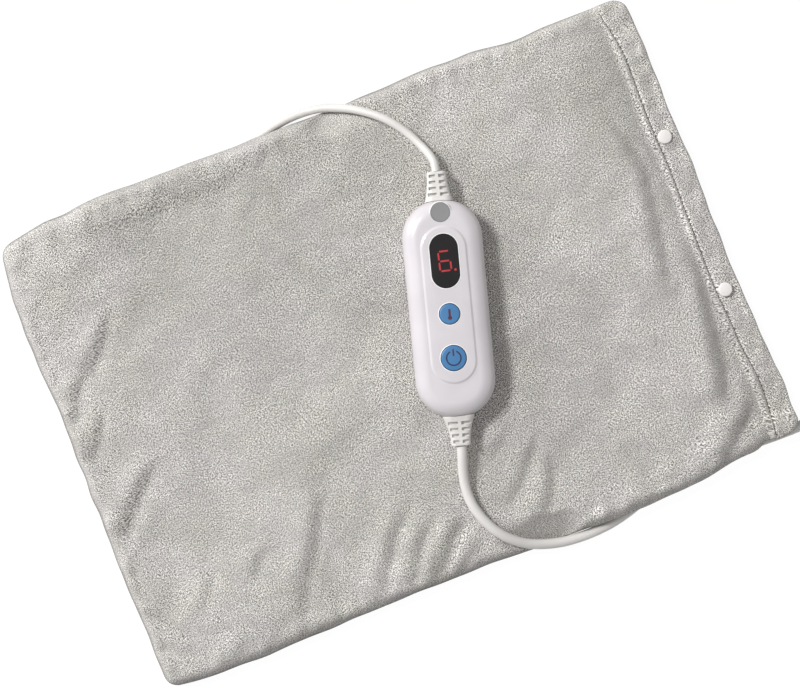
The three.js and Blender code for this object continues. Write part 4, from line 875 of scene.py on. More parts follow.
def make_cords(on_mains_lead):
    route = smooth_route(PAD_LEAD_ROUTE)
    lead = cord_piece("pad_lead_cord", route, PAD_CORD, ["pad_lead"])
    tuple(route[0] * MILLIMETRE)
    route_length(route)

    coil, heading = coil_route()
    near = coil[0] - heading * (TOUCH_GAP + MAINS_CORD)
    route = smooth_route([*MAINS_LEAD_ROUTE, near, coil[0]])[:-1] + coil
    lead = cord_piece("mains_lead_cord", route, MAINS_CORD, ["mains_lead", "mains_lead_coil"])
    tuple(route[0] * MILLIMETRE)
    route_length(route)


# Form of the pad, worked out over arrays of places on the flat cover

def along_shares(shares, along):
    """Value along an edge that runs from -1 to 1, eased between evenly spaced ones."""
    shares = np.asarray(shares)
    station = np.clip((along + 1) / 2, 0, 1) * (len(shares) - 1)
    index = np.minimum(station.astype(int), len(shares) - 2)
    share = smoothstep(station - index)
    return shares[index] * (1 - share) + shares[index + 1] * share


def ripple(x, y, seed, count, low, high, size):
    """Sum of waves in random directions, with lengths between low and high."""
    draw = np.random.default_rng(seed)
    total = np.zeros_like(x)
    for _ in range(count):
        angle, phase = draw.uniform(0, 2 * math.pi, 2)
        pace = 2 * math.pi / draw.uniform(low, high)
        total += np.sin(pace * (x * math.cos(angle) + y * math.sin(angle)) + phase)
    return total * size / math.sqrt(count / 2)


def from_edge(x, y):
    """Distance to the nearest edge of the flat cover."""
    return np.minimum(HALF_WIDTH - np.abs(y), HALF_LENGTH - np.abs(x))


def beside(x, y, start, end):
    """Share along a straight stretch where each place is nearest to it, and the way across from there.

    The stretch's ends are flat vectors.
    """
    way = end - start
    share = np.clip(((x - start[0]) * way[0] + (y - start[1]) * way[1]) / way.dot(way), 0, 1)
    return share, x - start[0] - share * way[0], y - start[1] - share * way[1]


def round_corners(x, y):
    """Draws the flat cover's square corners in to arcs."""
    inner_x = HALF_LENGTH - CORNER_RADIUS
    inner_y = HALF_WIDTH - CORNER_RADIUS
    a = np.clip((np.abs(x) - inner_x) / CORNER_RADIUS, 0, 1)
    b = np.clip((np.abs(y) - inner_y) / CORNER_RADIUS, 0, 1)
    in_corner = (a > 0) & (b > 0)
    round_x = inner_x + CORNER_RADIUS * a * np.sqrt(1 - b ** 2 / 2)
    round_y = inner_y + CORNER_RADIUS * b * np.sqrt(1 - a ** 2 / 2)
    return np.where(in_corner, np.sign(x) * round_x, x), np.where(in_corner, np.sign(y) * round_y, y)


def on_cover(x, y):
    """Where a point of the flat rectangle lies once its edges wander."""
    u, v = x / HALF_LENGTH, y / HALF_WIDTH
    end_inset = np.where(
        u > 0, along_shares(END_INSET_MOUTH_SHARES, v), along_shares(END_INSET_CLOSED_SHARES, v))
    side_inset = np.where(
        v > 0, along_shares(SIDE_INSET_TOP_SHARES, u), along_shares(SIDE_INSET_BOTTOM_SHARES, u))
    return (
        x * (1 - end_inset - CORNER_SHARE * np.abs(v) ** CORNER_POWER),
        y * (1 - side_inset - CORNER_SHARE * np.abs(u) ** CORNER_POWER))


def laid_out(x, y):
    """Where a point of the flat cover lies, with round corners and the gather beside the hem."""
    loose = 1 - smoothstep(from_edge(x, y) / EDGE_SWAY_REACH)
    x, y = on_cover(*round_corners(x, y))
    sway_x, sway_y = (loose * ripple(x, y, *waves) for waves in EDGE_SWAYS)
    x, y = x + sway_x, y + sway_y
    gather = GATHER_DEPTH * np.exp(-((x - GATHER_PLACE) / GATHER_REACH) ** 2)
    near_corner = smoothstep((-y - HALF_WIDTH * GATHER_FROM_SHARE) / (HALF_WIDTH * GATHER_FADE_SHARE))
    return x, y + gather * near_corner


def hidden_runs():
    """The cords' stretches under the pad, with the height that clears them at each place."""
    def run(route, first, diameter):
        return [(x, y, z + diameter / 2 + LIFT_MARGIN) for x, y, z in route[first:]]

    tip_x, tip_y, tip_z = PAD_LEAD_ROUTE[-1]
    entry_end = tip_x - TOUCH_GAP - ENTRY_SLEEVE - ENTRY_BLOCK
    return (
        run(PAD_LEAD_ROUTE, PAD_LEAD_FIRST_HIDDEN, PAD_CORD)
        + [(entry_end - ENTRY_SLEEVE, tip_y, tip_z + ENTRY_RADIUS + LIFT_MARGIN)],
        run(MAINS_LEAD_ROUTE, MAINS_LEAD_FIRST_HIDDEN, MAINS_CORD))


def lift_over_cords(x, y):
    """Height to which the cloth lifts over the cords that run under the pad."""
    lift = np.zeros_like(x)
    for run in map(np.array, hidden_runs()):
        for start, end in zip(run, run[1:]):
            share, across_x, across_y = beside(x, y, start[:2], end[:2])
            fade = 1 - smoothstep((np.hypot(across_x, across_y) - LIFT_FLAT) / LIFT_FADE)
            lift = np.maximum(lift, (start[2] + (end[2] - start[2]) * share) * fade)
    return lift


def limit_below_cords(x, y):
    """Height the cloth keeps to under the cords that lie over the cover."""
    limit = np.full(np.shape(x), np.inf)
    for route, last, diameter in (
            (PAD_LEAD_ROUTE, PAD_LEAD_OVER_EDGE, PAD_CORD),
            (MAINS_LEAD_ROUTE, MAINS_LEAD_OVER_EDGE, MAINS_CORD)):
        points = smooth_route(route[:last + 1])
        for start, end in zip(points, points[1:]):
            share, across_x, across_y = beside(x, y, start.xy, end.xy)
            under = start.z + share * (end - start).z - diameter / 2 - PRESS_GAP
            aside = np.maximum(0, np.hypot(across_x, across_y) - diameter / 2)
            limit = np.minimum(limit, under + PRESS_SLOPE * aside)
    return limit


def rise(distance, reach=EDGE_RISE, fullness=EDGE_FULLNESS):
    """Share of the full height at a distance from an edge."""
    return 1 - (1 - np.clip(distance / reach, 0, 1)) ** fullness


def panel_heights(x, y):
    """Faces of the back and front panels over the flat cover: low and high of each."""
    mouth = HALF_LENGTH - x
    hem = 1 - np.clip((mouth - HEM_WIDTH) / HEM_STEP, 0, 1)
    past_hem = np.clip(1 - (mouth - HEM_WIDTH) / INSERT_INSET, 0, 1)
    mouth_lift = HEM_LIFT * past_hem
    lift = np.maximum(lift_over_cords(*on_cover(x, y)), mouth_lift)
    cloth = PLUSH * (1 + hem)
    end_fill = STUD_ROOM + (FULL_FILL - STUD_ROOM) * rise(mouth - HEM_WIDTH, MOUTH_RISE, MOUTH_FULLNESS)
    fill = end_fill * rise(HALF_WIDTH - np.abs(y)) * rise(x + HALF_LENGTH)
    front = cloth + TOUCH_GAP + mouth_lift + np.hypot(fill, lift - mouth_lift)
    return lift, lift + cloth, front, front + cloth


def fold_heights(x, y):
    """Ridges and the dips beside them, over places on the laid-out cover."""
    picture_right = Vector((math.cos(VIEW_TURN), math.sin(VIEW_TURN)))
    height = np.zeros_like(x)
    for size, *line in FOLDS:
        route = [point.xy for point in smooth_route([(*point, 0) for point in line])]
        route.append(route[-1] + (route[-1] - route[-2]).normalized() * FOLD_RUN_OUT)
        nearest = np.full(x.shape, np.inf)
        side = np.zeros_like(x)
        along = np.zeros_like(x)
        for i, (start, end) in enumerate(zip(route, route[1:])):
            facing = (end - start).orthogonal().normalized()
            facing *= math.copysign(1, facing.dot(picture_right))
            share, across_x, across_y = beside(x, y, start, end)
            distance = np.hypot(across_x, across_y)
            closer = distance < nearest
            nearest = np.where(closer, distance, nearest)
            side = np.where(closer, np.sign(across_x * facing.x + across_y * facing.y) * distance, side)
            along = np.where(closer, (i + share) / (len(route) - 1), along)
        fade = smoothstep(along / FOLD_FADE) * smoothstep((1 - along) / FOLD_END_FADE)
        reach = np.where(side < 0, FOLD_BACK, FOLD_REACH)
        reach *= FOLD_START_SHARE + (1 - FOLD_START_SHARE) * along
        reach *= FOLD_LEAST_SHARE + FOLD_SHARE_PER_SIZE * size
        wave = -side / reach * np.exp(0.5 - (side / reach) ** 2 / 2)
        height += size * np.where(side < 0, FOLD_RIDGE, FOLD_DIP) * fade * wave
    return height


def places_of(mesh):
    """Places of a mesh's vertices, in rows."""
    places = np.empty(len(mesh.vertices) * 3)
    mesh.vertices.foreach_get("co", places)
    return places.reshape(-1, 3)


def grid_mesh(name, columns, rows, closed=False):
    """A mesh over a grid, or a closed sheet over it, and for each vertex its column, row and upper side."""
    shape = bmesh.new()
    bmesh.ops.create_grid(shape, x_segments=len(columns) - 1, y_segments=len(rows) - 1, size=0.5)
    if closed:
        region = bmesh.ops.extrude_face_region(shape, geom=shape.faces[:], use_keep_orig=True)["geom"]
        lifted = [item for item in region if isinstance(item, bmesh.types.BMVert)]
        bmesh.ops.translate(shape, vec=(0, 0, 1), verts=lifted)
        bmesh.ops.recalc_face_normals(shape, faces=shape.faces[:])
    mesh = as_mesh(name, shape)
    across, up, layer = places_of(mesh).T
    column = np.rint((across + 0.5) * (len(columns) - 1)).astype(int)
    row = np.rint((up + 0.5) * (len(rows) - 1)).astype(int)
    return mesh, column, row, layer > 0.5


def set_places(mesh, x, y, z):
    """Moves a mesh's vertices to places in millimetres."""
    mesh.vertices.foreach_set("co", (np.stack([x, y, z], axis=1) * MILLIMETRE).ravel())


def buckled_cloth():
    """Rise of the front panel where its slack cloth buckles, on an even grid over the flat cover."""
    columns = np.linspace(-HALF_LENGTH, HALF_LENGTH, BUCKLE_COLUMNS)
    rows = np.linspace(-HALF_WIDTH, HALF_WIDTH, BUCKLE_ROWS)
    heights = np.zeros((BUCKLE_COLUMNS, BUCKLE_ROWS))
    mesh, column, row, _ = grid_mesh("slack_cloth", columns, rows)
    x, y = columns[column], rows[row]
    start = panel_heights(x, y)[3] + front_relief(x, y)
    set_places(mesh, *laid_out(x, y), start)
    sheet = placed("slack_cloth", mesh)
    held = sheet.vertex_groups.new(name="held")
    rim = np.minimum(HALF_WIDTH - np.abs(y), np.minimum(HALF_LENGTH + x, HALF_LENGTH - HEM_WIDTH - x))
    held.add([int(i) for i in np.flatnonzero(rim < BUCKLE_RIM)], 1.0, "REPLACE")
    modifier = sheet.modifiers.new("slack", "CLOTH")
    modifier.collision_settings.use_collision = False
    cloth = modifier.settings
    cloth.quality = 6
    cloth.mass = 0.1
    cloth.tension_stiffness = cloth.compression_stiffness = 20
    cloth.shear_stiffness = 10
    cloth.bending_stiffness = BUCKLE_BENDING
    cloth.vertex_group_mass = "held"
    cloth.shrink_min = -BUCKLE_SLACK
    cloth.effector_weights.gravity = 0
    for step in range(1, BUCKLE_FRAMES + 1):
        bpy.context.scene.frame_set(step)
    end = places_of(sheet.evaluated_get(bpy.context.evaluated_depsgraph_get()).to_mesh())
    heights[column, row] = end[:, 2] / MILLIMETRE - start
    bpy.data.objects.remove(sheet)
    bpy.context.scene.frame_set(1)
    return columns, rows, np.clip(heights, -BUCKLE_FALL, BUCKLE_RISE)


def on_grid(grid, x, y):
    """Value at flat places, between the lines of an even grid."""
    columns, rows, values = grid
    across = np.clip((x - columns[0]) / (columns[1] - columns[0]), 0, len(columns) - 1.001)
    up = np.clip((y - rows[0]) / (rows[1] - rows[0]), 0, len(rows) - 1.001)
    i, j = across.astype(int), up.astype(int)
    s, t = smoothstep(across - i), smoothstep(up - j)
    low = values[i, j] * (1 - s) + values[i + 1, j] * s
    high = values[i, j + 1] * (1 - s) + values[i + 1, j + 1] * s
    return low * (1 - t) + high * t


def stitch_line(y):
    """Where the row of stitches runs, along the flat cover."""
    return STITCH_PLACE + along_shares(STITCH_WANDER, y / HALF_WIDTH)


def front_relief(x, y):
    """What the front panel's cloth adds to its plain form."""
    wide, tall = laid_out(x, y)
    edge = from_edge(x, y)
    waves = ripple(wide, tall, *LONG_WAVES) + ripple(wide, tall, *SHORT_WAVES)
    pucker = ripple(wide, tall, *PUCKERS) * (1 - smoothstep(edge / PUCKER_REACH))
    calm = smoothstep(np.abs(x - stitch_line(y)) / HEM_CALM_REACH)
    folds = fold_heights(wide, tall) * (HEM_FOLD_SHARE + (1 - HEM_FOLD_SHARE) * calm)
    return (folds + waves + pucker) * smoothstep(edge / EDGE_HELD)


def groove(x, y):
    """The groove that the stitches draw in, with a low shoulder either side."""
    offset = x - stitch_line(y)
    shoulder = SHOULDER_RISE * np.exp(-((np.abs(offset) - SHOULDER_PLACE) / SHOULDER_REACH) ** 2)
    return shoulder - GROOVE_DEPTH * np.exp(-(offset / GROOVE_REACH) ** 2)


def drop(distance, radius):
    """How far a rounded edge of a radius falls, at a distance from the edge."""
    inward = np.maximum(0, radius - distance)
    return radius - np.sqrt(np.maximum(0, radius ** 2 - inward ** 2))


def edge_falls(x, y, cloth):
    """How far the rounded edges of cloth of a thickness fall, at the sewn sides and at the mouth."""
    sewn = drop(np.minimum(HALF_WIDTH - np.abs(y), HALF_LENGTH + x), PLUSH)
    return sewn * (cloth - SEWN_EDGE) / PLUSH, drop(HALF_LENGTH - x, PLUSH * RIM_SHARE)


def front_faces(x, y):
    """Inner and outer face of the front panel."""
    _, back_high, low, high = panel_heights(x, y)
    sewn, mouth = edge_falls(x, y, high - low)
    relief = front_relief(x, y) + on_grid(BUCKLED, x, y)
    pressed = np.maximum(0, high + relief - limit_below_cords(*laid_out(x, y)))
    relief = relief - np.minimum(pressed, low + relief - back_high - TOUCH_GAP)
    return low + relief + mouth, high + relief + groove(x, y) - mouth - sewn


def back_faces(x, y):
    """Outer and inner face of the back panel."""
    low, high, _, _ = panel_heights(x, y)
    sewn, mouth = edge_falls(x, y, high - low)
    return low + mouth + sewn, high - mouth


def grid_lines(low, high, step, edge_steps, extra=()):
    """Lines of a grid from low to high, with close ones at its ends and at extra places."""
    ends = [low + value for value in edge_steps] + [high - value for value in edge_steps]
    start, stop = low + edge_steps[-1], high - edge_steps[-1]
    count = max(1, round((stop - start) / step))
    lines = [start + (stop - start) * i / count for i in range(1, count)]
    if extra:
        lines = [line for line in lines if not extra[0] - step / 2 < line < extra[-1] + step / 2]
    return np.array(sorted({*ends, *lines, *extra}))


def sheet_piece(name, columns, rows, faces, finish, replaces, wander=None):
    """A closed sheet over a grid, its two faces at given heights."""
    mesh, column, row, above = grid_mesh(name, columns, rows, closed=True)
    x, y = columns[column], rows[row]
    if wander is not None:
        x = x + wander(x, y)
    low, high = faces(x, y)
    set_places(mesh, *laid_out(x, y), np.where(above, high, low))
    mesh.update()
    mesh.shade_smooth()
    return mounted(name, mesh, finish, replaces)


def with_stitch_line(x, y):
    """Moves the grid's lines near the hem so that they follow the row of stitches."""
    near = np.where(
        x > STITCH_PLACE, (HALF_LENGTH - x) / STITCH_FROM_MOUTH, 1 - (STITCH_PLACE - x) / STITCH_LINE_REACH)
    return (stitch_line(y) - STITCH_PLACE) * np.clip(near, 0, 1)


def make_cover():
    by_stitches = [STITCH_PLACE + line for line in STITCH_LINES]
    columns = grid_lines(-HALF_LENGTH, HALF_LENGTH, FRONT_GRID_STEP, EDGE_STEPS, by_stitches)
    rows = grid_lines(-HALF_WIDTH, HALF_WIDTH, FRONT_GRID_STEP, EDGE_STEPS)
    front = sheet_piece(
        "front_panel", columns, rows, front_faces, "plush", ["cover_front"], wander=with_stitch_line)
    columns, rows = (grid_lines(-half, half, GRID_STEP, EDGE_STEPS) for half in (HALF_LENGTH, HALF_WIDTH))
    back = sheet_piece("back_panel", columns, rows, back_faces, "plush", ["cover_back"])
    make_stitches()


def make_stitches():
    """Short stitch bars in the groove beside the hem, coloured dark as painted shade of the groove."""
    count = int(COVER_WIDTH / STITCH_PITCH) - 2
    y = -HALF_WIDTH + STITCH_PITCH * (1.5 + np.arange(count))
    x = stitch_line(y)
    top = front_faces(x, y)[1] + STITCH_THICKNESS / 4
    spots = [Vector(spot) for spot in zip(*laid_out(x, y), top)]
    stitches = bmesh.new()
    for i, spot in enumerate(spots):
        way = spots[min(i + 1, count - 1)] - spots[max(i - 1, 0)]
        turn = way.to_track_quat("X", "Z").to_matrix().to_4x4()
        size = Matrix.Diagonal((STITCH_LENGTH, STITCH_THICKNESS, STITCH_THICKNESS, 1))
        made = bmesh.ops.create_cube(stitches, size=1, matrix=Matrix.Translation(spot) @ turn @ size)
        edges = {edge for vertex in made["verts"] for edge in vertex.link_edges}
        bmesh.ops.bevel(
            stitches, geom=list(edges), offset=STITCH_THICKNESS * 0.3, segments=1, profile=0.5,
            affect="EDGES", material=-1)
    return piece("hem_stitches", stitches, "thread", sharp=60)


def make_insert():
    """The two padded layers of the heating insert."""
    low_x, high_x = -HALF_LENGTH + INSERT_INSET, HALF_LENGTH - HEM_WIDTH - INSERT_INSET
    half_y = HALF_WIDTH - INSERT_INSET
    columns = grid_lines(low_x, high_x, INSERT_STEP, INSERT_EDGE_STEPS)
    rows = grid_lines(-half_y, half_y, INSERT_STEP, INSERT_EDGE_STEPS)

    def plumped(low, high, x, y, radius):
        """Draws two faces towards each other where the rim is near."""
        edge = np.minimum(half_y - np.abs(y), np.minimum(x - low_x, high_x - x))
        fall = drop(edge, radius) / radius * (high - low) * INSERT_RIM_SHARE
        return low + fall, high - fall

    def bottom_faces(x, y):
        low = panel_heights(x, y)[1] + TOUCH_GAP
        return plumped(low, np.full_like(x, INTERFACE_LOW), x, y, INSERT_BOTTOM_ROUND)

    def top_faces(x, y):
        under_front = np.minimum(front_faces(x, y)[0], panel_heights(x, y)[2]) - 2 * TOUCH_GAP
        high = np.maximum(under_front, INTERFACE_HIGH + 2 * TOUCH_GAP)
        return plumped(np.full_like(x, INTERFACE_HIGH), high, x, y, INSERT_TOP_ROUND)

    bottom = sheet_piece("insert_bottom_layer", columns, rows, bottom_faces, "fleece", ["insert_bottom"])
    top = sheet_piece("insert_top_layer", columns, rows, top_faces, "fleece", ["insert_top"])


# Controller

IN_CONTROLLER = Matrix.Translation(CONTROLLER_PLACE) @ Matrix.Rotation(CONTROLLER_TURN, 4, "Z")


def rounding(across, up, steps=14):
    """Insets and rises of a quarter round that starts upright and ends level."""
    turns = [i / steps * math.pi / 2 for i in range(steps + 1)]
    return [
        (across * (math.cos(a) - math.cos(b)), up * (math.sin(b) - math.sin(a)))
        for a, b in zip(turns, turns[1:])]


def eased(across, up):
    """Insets and rises of a slope that starts and ends level."""
    steps = 8
    rises = [float(smoothstep(i / steps)) for i in range(steps + 1)]
    return [(across / steps, up * (high - low)) for low, high in zip(rises, rises[1:])]


def body_plate(inset, height):
    """The housing's outline as a level face, drawn in by an inset."""
    return plate(
        BODY_LENGTH - 2 * inset, BODY_WIDTH - 2 * inset, BODY_CORNER - inset, (0, 0, height), 20)


def upper_body(inset, start):
    """Closed form of the housing above a height, drawn in by an inset."""
    wall = BODY_HEIGHT - TOP_ROUND_RISE - start
    return raised(body_plate(inset, start), [
        (0, wall), *rounding(TOP_ROUND_ACROSS - inset / 2, TOP_ROUND_RISE - inset)])


def lower_body(inset, start):
    """Closed form of the housing below a height, drawn in by an inset."""
    wall = start - BOTTOM_ROUND_RISE
    shape = raised(body_plate(inset, 0), [
        (0, wall), *rounding(BOTTOM_ROUND_ACROSS - inset / 2, BOTTOM_ROUND_RISE - inset, 10)])
    return moved(shape, Matrix.Translation((0, 0, start)) @ Matrix.Diagonal((1, 1, -1, 1)))


def stadium(length, width, low, high, centre, edge=0.0):
    """A body with round ends between two heights, and an edge rounded off at the top."""
    steps = [(0, high - low - edge), *(rounding(edge, edge, 4) if edge else [])]
    return raised(plate(length, width, width / 2, (centre, 0, low), 20), steps)


def post(radius, low, high, centre, steps=32):
    """An upright cylinder between two heights."""
    return turned([(0, low), (radius, low), (radius, high), (0, high)], centre, steps)


def at_screws(make):
    """A body at each of the four screws, made from its centre."""
    return gathered([
        make((side * SCREW_REACH, hand * SCREW_ACROSS)) for side in (1, -1) for hand in (1, -1)])


def neck_holes():
    """Bores through both end walls for the necks of the sleeves."""
    reach = BODY_WALL + OVERRUN
    return gathered([
        rod(NECK_RADIUS + TOUCH_GAP, end - reach, end + reach, BODY_PART)
        for end in (BODY_LENGTH / 2, -BODY_LENGTH / 2)])


def make_housing():
    """The two shells, with bosses for the screws and openings for window, badge, buttons and sleeves."""
    part_top = BODY_PART + TOUCH_GAP / 2
    inner_top = BODY_HEIGHT - BODY_WALL
    plateau = raised(
        plate(PLATEAU_LENGTH, PLATEAU_WIDTH, PLATEAU_WIDTH / 2,
              (PLATEAU_CENTRE, 0, BODY_HEIGHT - BODY_WALL / 2), 24),
        [(0, BODY_WALL / 2), *eased(PLATEAU_BEVEL, PLATEAU_HEIGHT)])
    badge_seat = BADGE_FACE - BADGE_THICKNESS - TOUCH_GAP
    badge_rim = BADGE_RADIUS + BADGE_RIM
    badge_boss = turned([
        (0, badge_seat - BODY_WALL), (badge_rim, badge_seat - BODY_WALL),
        (badge_rim, BADGE_FACE - BADGE_RIM_EDGE), (badge_rim - BADGE_RIM_EDGE, BADGE_FACE),
        (0, BADGE_FACE)], (BADGE_CENTRE, 0))
    window_seat = PLATEAU_TOP - WINDOW_THICKNESS - TOUCH_GAP
    openings = gathered([
        post(BADGE_RADIUS + TOUCH_GAP / 2, badge_seat, BADGE_FACE + OVERRUN, (BADGE_CENTRE, 0), 72),
        stadium(WINDOW_LENGTH + TOUCH_GAP, WINDOW_WIDTH + TOUCH_GAP, window_seat, PLATEAU_TOP + OVERRUN,
                WINDOW_CENTRE),
        *(post(radius + BUTTON_GAP, inner_top - OVERRUN, PLATEAU_TOP + OVERRUN, (centre, 0), 64)
          for centre, radius in BUTTONS.values())])
    ledge = stadium(
        WINDOW_LENGTH - 2 * WINDOW_LEDGE, WINDOW_WIDTH - 2 * WINDOW_LEDGE, inner_top - OVERRUN,
        window_seat + OVERRUN / 4, WINDOW_CENTRE)
    bosses = at_screws(lambda place: post(SCREW_BOSS, part_top, inner_top + TOUCH_GAP, place))
    pilots = at_screws(lambda place: post(SCREW_BORE, part_top - OVERRUN, BODY_PART + PILOT_DEPTH, place))
    top = combined(
        upper_body(0, part_top), ("UNION", plateau),
        ("DIFFERENCE", upper_body(BODY_WALL, part_top - OVERRUN)), ("UNION", bosses),
        ("DIFFERENCE", pilots), ("UNION", badge_boss), ("DIFFERENCE", openings),
        ("DIFFERENCE", ledge), ("DIFFERENCE", neck_holes()))
    piece("housing_top_shell", top, "housing", replaces=["housing_top"], matrix=IN_CONTROLLER, sharp=14)

    part_low = BODY_PART - TOUCH_GAP / 2
    seats = at_screws(lambda place: post(SCREW_SEAT, BODY_WALL / 2, part_low, place))
    bores = at_screws(lambda place: turned([
        (0, -OVERRUN), (SCREW_HEAD_BORE, -OVERRUN), (SCREW_HEAD_BORE, BODY_PART / 2),
        (SCREW_BORE, BODY_PART / 2), (SCREW_BORE, part_low + OVERRUN), (0, part_low + OVERRUN)], place, 32))
    bottom = combined(
        lower_body(0, part_low), ("DIFFERENCE", lower_body(BODY_WALL, part_low + OVERRUN)),
        ("UNION", seats), ("DIFFERENCE", bores), ("DIFFERENCE", neck_holes()))
    piece("housing_bottom_shell", bottom, "housing", replaces=["housing_bottom"], matrix=IN_CONTROLLER,
          sharp=14)


def make_window():
    """The lens, and the lit segments of a digit and its point, drawn across and up the window."""
    window = stadium(
        WINDOW_LENGTH, WINDOW_WIDTH, PLATEAU_TOP - WINDOW_THICKNESS, PLATEAU_TOP, WINDOW_CENTRE, edge=0.25)
    piece("window_lens", window, "window", replaces=["display_window"], matrix=IN_CONTROLLER)

    side, end = DIGIT_WIDTH / 2, DIGIT_HEIGHT / 2
    joint = DIGIT_STROKE * 0.6 + DIGIT_GAP * 2
    level, upright = (DIGIT_WIDTH - joint, DIGIT_STROKE), (DIGIT_STROKE, end - joint)
    segments = (
        (0, end, level), (0, 0, level), (0, -end, level),
        (-side, end / 2, upright), (-side, -end / 2, upright), (side, -end / 2, upright))
    lift = PLATEAU_TOP - DIGIT_SINK
    shapes = [
        raised(plate(*size, DIGIT_STROKE * 0.42, (across, up, lift), 1), [(0, DIGIT_THICKNESS)])
        for across, up, size in segments]
    shapes.append(post(POINT_RADIUS, lift, lift + DIGIT_THICKNESS, (side + POINT_ASIDE, -end), 24))
    place = IN_CONTROLLER @ Matrix.Translation((WINDOW_CENTRE, 0, 0)) @ Matrix.Rotation(DIGIT_TURN, 4, "Z")
    piece("display_digit", gathered(shapes), "display_segments", matrix=place)


def ring(radius, centre, height):
    """A thin raised lip round a hole."""
    return turned([
        (radius, height - LIP_SINK), (radius + LIP_WIDTH, height - LIP_SINK), (radius + LIP_WIDTH, height),
        (radius, height + LIP_RISE)], centre, 72, closed=True)


def make_lips():
    """Bright moulded lips round the window, the badge and the buttons."""
    hole = (WINDOW_LENGTH + TOUCH_GAP, WINDOW_WIDTH + TOUCH_GAP)
    outer = stadium(
        *(size + 2 * LIP_WIDTH for size in hole), PLATEAU_TOP - LIP_SINK, PLATEAU_TOP + LIP_RISE,
        WINDOW_CENTRE)
    inner = stadium(*hole, PLATEAU_TOP - OVERRUN, PLATEAU_TOP + OVERRUN, WINDOW_CENTRE)
    lips = {"window": combined(outer, ("DIFFERENCE", inner)),
            "badge": ring(BADGE_RADIUS + TOUCH_GAP / 2, (BADGE_CENTRE, 0), BADGE_FACE)}
    for name, (centre, radius) in BUTTONS.items():
        lips[name] = ring(radius + BUTTON_GAP, (centre, 0), PLATEAU_TOP)
    for name, lip in lips.items():
        piece(f"{name}_lip", lip, "lip", matrix=IN_CONTROLLER)


def make_badge():
    """The plain round disc in its rim on the housing."""
    disc = turned([
        (0, BADGE_FACE - BADGE_THICKNESS), (BADGE_RADIUS, BADGE_FACE - BADGE_THICKNESS),
        (BADGE_RADIUS, BADGE_FACE - BADGE_EDGE), (BADGE_RADIUS - BADGE_EDGE, BADGE_FACE),
        (0, BADGE_FACE)], (BADGE_CENTRE, 0), 72)
    piece("badge_face", disc, "badge", replaces=["badge_disc"], matrix=IN_CONTROLLER)


def quarter_round(radius, height, across, up, steps=8):
    """Profile points of a rounded shoulder that ends level at a height."""
    return [
        (radius - across * (1 - math.cos(turn)), height - up * (1 - math.sin(turn)))
        for turn in np.linspace(0, math.pi / 2, steps)]


def make_buttons():
    """Caps with their printed signs, each riding on its own slide."""
    flange_top = BODY_HEIGHT - BODY_WALL - TOUCH_GAP
    crown = PLATEAU_TOP + BUTTON_RISE
    for name, (centre, radius) in BUTTONS.items():
        cap = turned([
            (0, PLUNGER_TOP + TOUCH_GAP), (STEM_RADIUS, PLUNGER_TOP + TOUCH_GAP),
            (STEM_RADIUS, flange_top - FLANGE_HEIGHT), (radius + FLANGE_WIDTH, flange_top - FLANGE_HEIGHT),
            (radius + FLANGE_WIDTH, flange_top), (radius, flange_top),
            *quarter_round(radius, crown - CAP_CROWN, CAP_ROUND_ACROSS, CAP_ROUND_DOWN),
            (radius * 0.6, crown - CAP_CROWN * 0.4), (0, crown)], (centre, 0), 72)
        piece(f"{name}_cap", cap, "button", body=f"{name}_button", replaces=[f"button_{name}"],
              matrix=IN_CONTROLLER, sharp=30)

    def print_on(name, label, shape, finish):
        place = IN_CONTROLLER @ Matrix.Translation((BUTTONS[name][0], 0, crown - SIGN_SINK))
        piece(label, shape, finish, body=f"{name}_button", matrix=place)

    arc = bmesh.new()
    inner, outer = POWER_RING
    face = arc.faces.new([arc.verts.new((radius, 0, height)) for radius, height in (
        (inner, 0), (outer, 0), (outer, SIGN_THICKNESS), (inner, SIGN_THICKNESS))])
    bmesh.ops.rotate(
        arc, verts=arc.verts[:], cent=(0, 0, 0), matrix=Matrix.Rotation(POWER_OPENING, 3, "Z"))
    bmesh.ops.spin(
        arc, geom=[face], cent=(0, 0, 0), axis=(0, 0, 1), angle=2 * (math.pi - POWER_OPENING), steps=60)
    print_on("power", "power_sign_ring", tidied(arc), "navy_print")
    mark = raised(plate(*POWER_BAR, (POWER_BAR_PLACE, 0, 0), 4), [(0, SIGN_THICKNESS)])
    print_on("power", "power_sign_bar", mark, "maroon_print")
    stem = raised(plate(*HEAT_STEM, (HEAT_STEM_PLACE, 0, 0), 6), [(0, SIGN_THICKNESS)])
    bulb = post(HEAT_BULB_RADIUS, 0, SIGN_THICKNESS, (HEAT_BULB_PLACE, 0))
    print_on("temperature", "temperature_sign", combined(stem, ("UNION", bulb)), "maroon_print")


def sleeve_width(base, x):
    """Width of a sleeve at a distance from the housing."""
    return SLEEVE_TIP_WIDTH + (base - SLEEVE_TIP_WIDTH) * (1 - x / SLEEVE_LENGTH) ** 2


